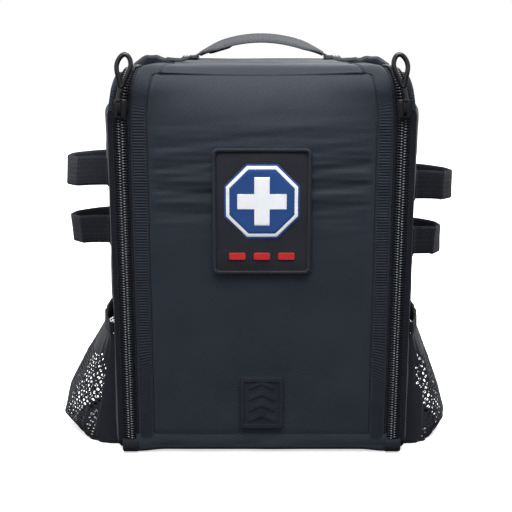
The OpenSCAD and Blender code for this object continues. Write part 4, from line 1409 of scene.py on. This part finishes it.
def make_back_pad(side_name, side):
    """One of the two padded columns against the back."""
    start, end = low("back_pad_right"), high("back_pad_right")
    z = np.linspace(start[2] + 2, end[2] - 2, 46)
    middle_x = (start[0] + end[0]) / 2
    half = rounded_half(z, start[2], end[2], (end[0] - start[0]) / 2, 16)
    thick = np.clip((end[1] - start[1] - 2.5) * np.sqrt(1 - np.abs((z - z.mean()) / 119) ** 8), 3, None)
    middle_y = np.full(len(z), start[1] + 5.8)
    left, right = side * middle_x - half, side * middle_x + half
    pad = pillow(f"back_pad_{side_name}_cover", z, left, right, middle_y, thick)
    inflate(pad)

    def channel(x, z):
        rows = sum(bell(z, at, 6) for at in (103, 162, 221))
        return 3.0 * np.minimum(rows, 1)

    finish_pad(pad, channel, (start[1] + 0.1, end[1] + 0.9))
    dress(pad, SPACER, "pack_body", [f"back_pad_{side_name}"])
    loop = rounded_outline((end[0] - start[0]) / 2, (end[2] - start[2]) / 2, 16, 2.5)
    path = stack(loop[:, 0] + side * middle_x, start[1] + 1.4, loop[:, 1] + (start[2] + end[2]) / 2)
    points, faces, uv = sweep(path, (0, 1, 0), flat_section(4.2, 2.2), closed=True)
    piping = build(f"back_pad_{side_name}_piping", points, faces, uv)
    dress(piping, BINDING, "pack_body")


def strap_y(z):
    """Depth of a shoulder strap's middle at a height."""
    return np.interp(z, [92, 262, 282, 300], [89, 89, 86.4, 79.3])


def strap_edges(z):
    """Left and right edge of the right shoulder strap at a height, and its middle and depth."""
    middle = 52.0
    w = high("shoulder_strap_right")[0] - middle - 8
    at = np.array([92, 140, 190, 250, 302])
    left = np.interp(z, at, [middle - 12, middle - w - 2, middle - w, middle - w + 2, middle - w + 5])
    right = np.interp(z, at, [middle + 16, middle + w + 2, middle + w + 7.5, middle + w + 4, middle + w - 5])
    y = strap_y(z)
    thick = np.interp(z, [92, 100, 270, 290, 301], [6.5, 9.5, 9.5, 8, 6])
    return left, right, y, thick


def make_shoulder_strap(side_name, side):
    body = f"shoulder_strap_{side_name}_body"
    z = np.linspace(93.5, 300, 48)
    left, right, y, thick = strap_edges(z)
    if side < 0:
        left, right = -right, -left
    pad = pillow(f"shoulder_strap_{side_name}_cover", z, left, right, y, thick - 1.6)
    inflate(pad, cap=3.0)

    def channel(x, z):
        return 1.8 * np.minimum(sum(bell(z, at, 5) for at in (135, 180, 225)), 1)

    p = mesh_points(pad.data) / MM
    y_here = strap_y(p[:, 2])
    out = np.sign(p[:, 1] - y_here) * smooth(np.abs(p[:, 1] - y_here), 0.5, 2.5)
    p[:, 1] -= out * channel(p[:, 0], p[:, 2])
    p[:, 1] += out * 0.3 * rumple(p, 15, 98 + side)
    limit = np.where(p[:, 2] < 280, 83.4, 70)
    p[:, 1] = np.clip(p[:, 1], limit, 94.6)
    set_points(pad.data, p * MM)
    cloth_map(pad.data, p)
    pad.data.shade_smooth()
    dress(pad, SPACER, body, [f"shoulder_strap_{side_name}"])
    z = np.linspace(97, 294, 60)
    y = strap_y(z)
    across = p[:, 0] * side
    near = [across[np.abs(p[:, 2] - at) < 5] for at in z]
    left = np.array([x.min() + 0.5 for x in near])
    right = np.array([x.max() - 0.5 for x in near])
    for name, x in (("inner", left), ("outer", right)):
        edge = rod(f"strap_{side_name}_{name}_edge", mirrored(curve(stack(x, y, z)[::4], 2.5), side),
                   (1, 0, 0), 1.7, 8)
        dress(edge, BINDING, body)
    rail = stack((left + right) / 2, y + 5.6, z)[:52]
    rail = curve(rail[::4], 2.0)
    rail[:, 1] += 0.3
    over = strap(f"strap_{side_name}_ladder", mirrored(rail, side), (1, 0, 0), 20, 1.6)
    dress(over, WEBBING, body)
    rows = []
    for at in (112, 152, 192, 232, 268):
        mid = np.interp(at, z, (left + right) / 2)
        line = stack(np.linspace(mid - 8.5, mid + 8.5, 12), np.interp(at, z, y) + 6.9, at)
        rows.append(stitch_row(mirrored(line, side), (0, 1, 0), 1.9, 0.6, 0.6))
    sew(f"strap_{side_name}_bartacks", merged(*rows), body)


def make_strap_webbing(side_name, side):
    """Lower webbing from its wing up to the ladder lock, and the tail below the lock."""
    body = f"shoulder_strap_{side_name}_body"
    bend = [(115, 74.2, 11), (106, 75.4, 17), (92, 77.8, 28), (76, 81.5, 42), (62, 84.2, 56),
            (55, 84.9, 67), (54, 85.0, 77)]
    path = curve(bend, 1.4)
    t = np.linspace(0, 1, len(path))
    across = stack(0.62 + 0.38 * smooth(t, 0.5, 0.9), 0, 0.62 * (1 - smooth(t, 0.5, 0.9)))
    band = strap(f"strap_webbing_{side_name}_band", mirrored(path, side), across * (side, 1, 1), 20, 1.7)
    band.data.materials.append(WEBBING)
    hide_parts(f"strap_webbing_{side_name}")
    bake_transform(band)
    bend = [(54, 86.4, 79.5), (54, 90, 79.8), (54, 93, 77), (54, 93.4, 68), (53.6, 92.9, 52),
            (53, 93.6, 36), (53.4, 92.6, 20), (53.2, 93.2, 14)]
    tail = strap(f"strap_tail_{side_name}_band", mirrored(curve(bend, 1.4), side), (1, 0, 0), 20, 1.7)
    dress(tail, WEBBING, body, [f"strap_tail_{side_name}"])
    hem = strap(f"strap_tail_{side_name}_hem",
                mirrored(curve([(53.3, 93.0, 22), (53.2, 93.2, 18), (53.2, 93.3, 13.4)], 1), side),
                (1, 0, 0), 20, 3.4)
    dress(hem, WEBBING, body)
    keeper = curve([(52, 85.2, 95), (52.4, 85.2, 90), (53, 87.3, 86.3), (53, 91.6, 87.5), (52.6, 94.4, 93),
                    (52, 94.6, 101)], 1.0)
    hold = strap(f"strap_{side_name}_keeper", mirrored(keeper, side), (1, 0, 0), 20, 1.6)
    dress(hold, WEBBING, body)


def make_back_details():
    """Yoke above the pads and the wings that hold the lower webbing."""
    start, end = low("strap_yoke"), high("strap_yoke")

    def puff(x, z, u, v):
        return 0.4 * rumple(stack(x, 0, z), 26, 101)

    yoke = sewn_plate("strap_yoke_cloth", start[[0, 2]], end[[0, 2]], BACK_Y + 0.1, 3.0, 6, 1, puff, 2.5, 1.8)
    dress(yoke, SHELL, "pack_body", ["strap_yoke"])
    loop = rounded_outline((end[0] - start[0]) / 2 - 2.5, (end[2] - start[2]) / 2 - 2.5, 4)
    path = stack(loop[:, 0], BACK_Y + 3.1, loop[:, 1] + (start[2] + end[2]) / 2)
    sew("yoke_stitches", stitch_row(path, (0, 1, 0), 2.2, 0.9, 0.5), "pack_body")
    for side_name, side in SIDES.items():
        rows = []
        for v in np.linspace(0, 1, 16):
            x = np.linspace(103.6, 117.4, 12)
            top = 30.5 + (x - 104) * 18 / 13
            z = 8 + (top - 8) * v
            puffed = 3.0 - 1.6 * smooth(v, 0.85, 1) - 1.6 * smooth(v, 0.15, 0)
            rows.append(stack(x, BACK_Y + 0.1 + puffed - 1.2 * np.abs((x - 110.5) / 7) ** 6, z))
        grid = mirrored(np.array(rows), side)
        wing = cloth(f"strap_wing_{side_name}_cloth", grid if side > 0 else grid[:, ::-1], 1.4)
        dress(wing, SHELL, "pack_body", [f"strap_wing_{side_name}"])


# ---------- inside ----------


def make_inside():
    """Quilted lining over the back sheet and the base board, and a slack pocket on the back."""
    start, end = low("frame_sheet"), high("frame_sheet")

    def quilt(x, z, u, v):
        lines = np.minimum(np.abs(np.sin(PI * x / 34)), np.abs(np.sin(PI * z / 40))) ** 0.5
        return 0.9 * lines - 0.5

    back = sewn_plate("back_lining", start[[0, 2]], end[[0, 2]], end[1], 2.6, 8, -1, quilt, 3.0, 1.4)
    dress(back, LINING, "pack_body", ["frame_sheet"])
    start, end = low("base_board"), high("base_board")
    x = np.linspace(start[0], end[0], 70)
    y = np.linspace(start[1], end[1], 42)
    x, y = np.meshgrid(x, y)
    edge = (1 - np.abs(x / end[0]) ** 14) * (1 - np.abs((y - 2) / 60) ** 14)
    z = 3.4 + (1.6 + 0.4 * rumple(stack(x, y, 0), 30, 103)) * np.clip(edge, 0, 1)
    base = cloth("base_lining", stack(x, y, z)[:, ::-1], 1.0)
    dress(base, LINING, "pack_body", ["base_board"])
    start, end = low("back_pocket"), high("back_pocket")

    def slack(x, z, u, v):
        return 1.6 * smooth(v, -1, 0.4) * (1 - u**4) + 0.7 * rumple(stack(x, 0, z * 0.4), 26, 104)

    pocket = sewn_plate("back_pocket_cloth", start[[0, 2]], end[[0, 2]], start[1] + 0.6, 1.4, 6, -1, slack,
                        3.0, 0.8)
    dress(pocket, LINING, "pack_body", ["back_pocket"])
    path = curve([(start[0] + 3, start[1] - 1.2, end[2] - 4), (0, start[1] - 3.2, end[2] - 5),
                  (end[0] - 3, start[1] - 1.2, end[2] - 4)], 3)
    hem = strap("back_pocket_hem", path, (0, 0, 1), 9, 1.6)
    dress(hem, BINDING, "pack_body")


# ---------- the whole bag ----------

panel_skin = make_panel_skin()
make_panel_lining()
make_door_pocket()
for name_of_side, way_of_side in SIDES.items():
    make_ribbed_strip(name_of_side, way_of_side)
    for is_inner in (True, False):
        make_tape(name_of_side, way_of_side, is_inner)
        make_teeth(name_of_side, way_of_side, is_inner)
    make_zip_ends(name_of_side, way_of_side)
    make_pull(name_of_side, way_of_side)
    make_slider(name_of_side, way_of_side)
    make_mesh_pocket(name_of_side, way_of_side)
    make_back_pad(name_of_side, way_of_side)
    make_shoulder_strap(name_of_side, way_of_side)
    make_strap_webbing(name_of_side, way_of_side)
    make_side_loop(f"loop_upper_{name_of_side}", way_of_side)
    make_side_loop(f"loop_lower_{name_of_side}", way_of_side)
make_shell()
make_crown()
make_gusset()
make_patch()
make_loop_field()
make_badge()
make_handle()
make_back_details()
make_inside()
ease_edges("ladder_lock_left", BUCKLE, 0.7)
ease_edges("ladder_lock_right", BUCKLE, 0.7)


# ---------- floor, light and camera ----------


def make_floor():
    mesh = bpy.data.meshes.new("floor")
    mesh.from_pydata([(-6, -6, 0), (6, -6, 0), (6, 6, 0), (-6, 6, 0)], [], [(0, 1, 2, 3)])
    floor = bpy.data.objects.new("floor", mesh)
    bpy.context.scene.collection.objects.link(floor)
    paint = Shader("floor_paint", 0.9, 0.1)
    paint.surface.inputs["Base Color"].default_value = (0.9, 0.9, 0.9, 1)
    paint.surface.inputs["Emission Color"].default_value = (1, 1, 1, 1)
    paint.surface.inputs["Emission Strength"].default_value = 0.6
    floor.visible_diffuse = False
    floor.visible_glossy = False
    mesh.materials.append(paint.material)
    floor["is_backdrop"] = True


def add_area(name, place, target, size, power):
    light = bpy.data.lights.new(name, "AREA")
    light.shape = "RECTANGLE"
    light.size, light.size_y = size
    light.energy = power
    lamp = bpy.data.objects.new(name, light)
    lamp.location = place
    aim = Vector(target) - Vector(place)
    lamp.rotation_euler = aim.to_track_quat("-Z", "Y").to_euler()
    bpy.context.scene.collection.objects.link(lamp)


def light_scene():
    world = bpy.data.worlds.new("studio")
    world.use_nodes = True
    tree = world.node_tree
    where = tree.nodes.new("ShaderNodeTexCoord")
    parts = tree.nodes.new("ShaderNodeSeparateXYZ")
    ramp = tree.nodes.new("ShaderNodeValToRGB")
    stops = ((0.0, 0.02), (0.42, 0.02), (0.44, 1.0), (0.56, 1.0), (0.66, 0.42), (1.0, 0.42))
    for place, grey in stops[1:-1]:
        ramp.color_ramp.elements.new(place).color = (grey, grey, grey, 1)
    for end, (_, grey) in ((0, stops[0]), (-1, stops[-1])):
        ramp.color_ramp.elements[end].color = (grey, grey, grey, 1)
    shift = tree.nodes.new("ShaderNodeMath")
    shift.operation = "MULTIPLY_ADD"
    shift.inputs[1].default_value = 0.5
    shift.inputs[2].default_value = 0.5
    tree.links.new(where.outputs["Generated"], parts.inputs[0])
    tree.links.new(parts.outputs["Z"], shift.inputs[0])
    tree.links.new(shift.outputs[0], ramp.inputs["Fac"])
    tree.links.new(ramp.outputs["Color"], tree.nodes["Background"].inputs["Color"])
    bpy.context.scene.world = world
    add_area("overhead", (0, -0.42, 1.35), (0, -0.05, 0.25), (1.2, 0.7), 40)
    add_area("rear", (0.5, 1.7, 1.1), (0, 0.05, 0.18), (1.4, 0.9), 16)
    add_area("front", (-0.5, -1.6, 1.0), (0, 0, 0.2), (1.2, 0.8), 5)
    bpy.context.scene.view_settings.view_transform = "Standard"


def place_camera():
    data = bpy.data.cameras.new("photo_camera")
    data.lens = 70.6
    data.sensor_width = 36
    camera = bpy.data.objects.new("photo_camera", data)
    camera.location = (-0.0048, -0.870, 0.377)
    camera.rotation_euler = (math.radians(75.8), 0, 0)
    bpy.context.scene.collection.objects.link(camera)
    bpy.context.scene.camera = camera


def keep_sizes():
    """Puts the CAD's box and the finished object's box side by side as plain lists."""
    boxes = {"cad": cad_box, "look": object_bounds()}
    plain = {name: [[float(v) for v in corner] for corner in box] for name, box in boxes.items()}


make_floor()
light_scene()
place_camera()
keep_sizes()
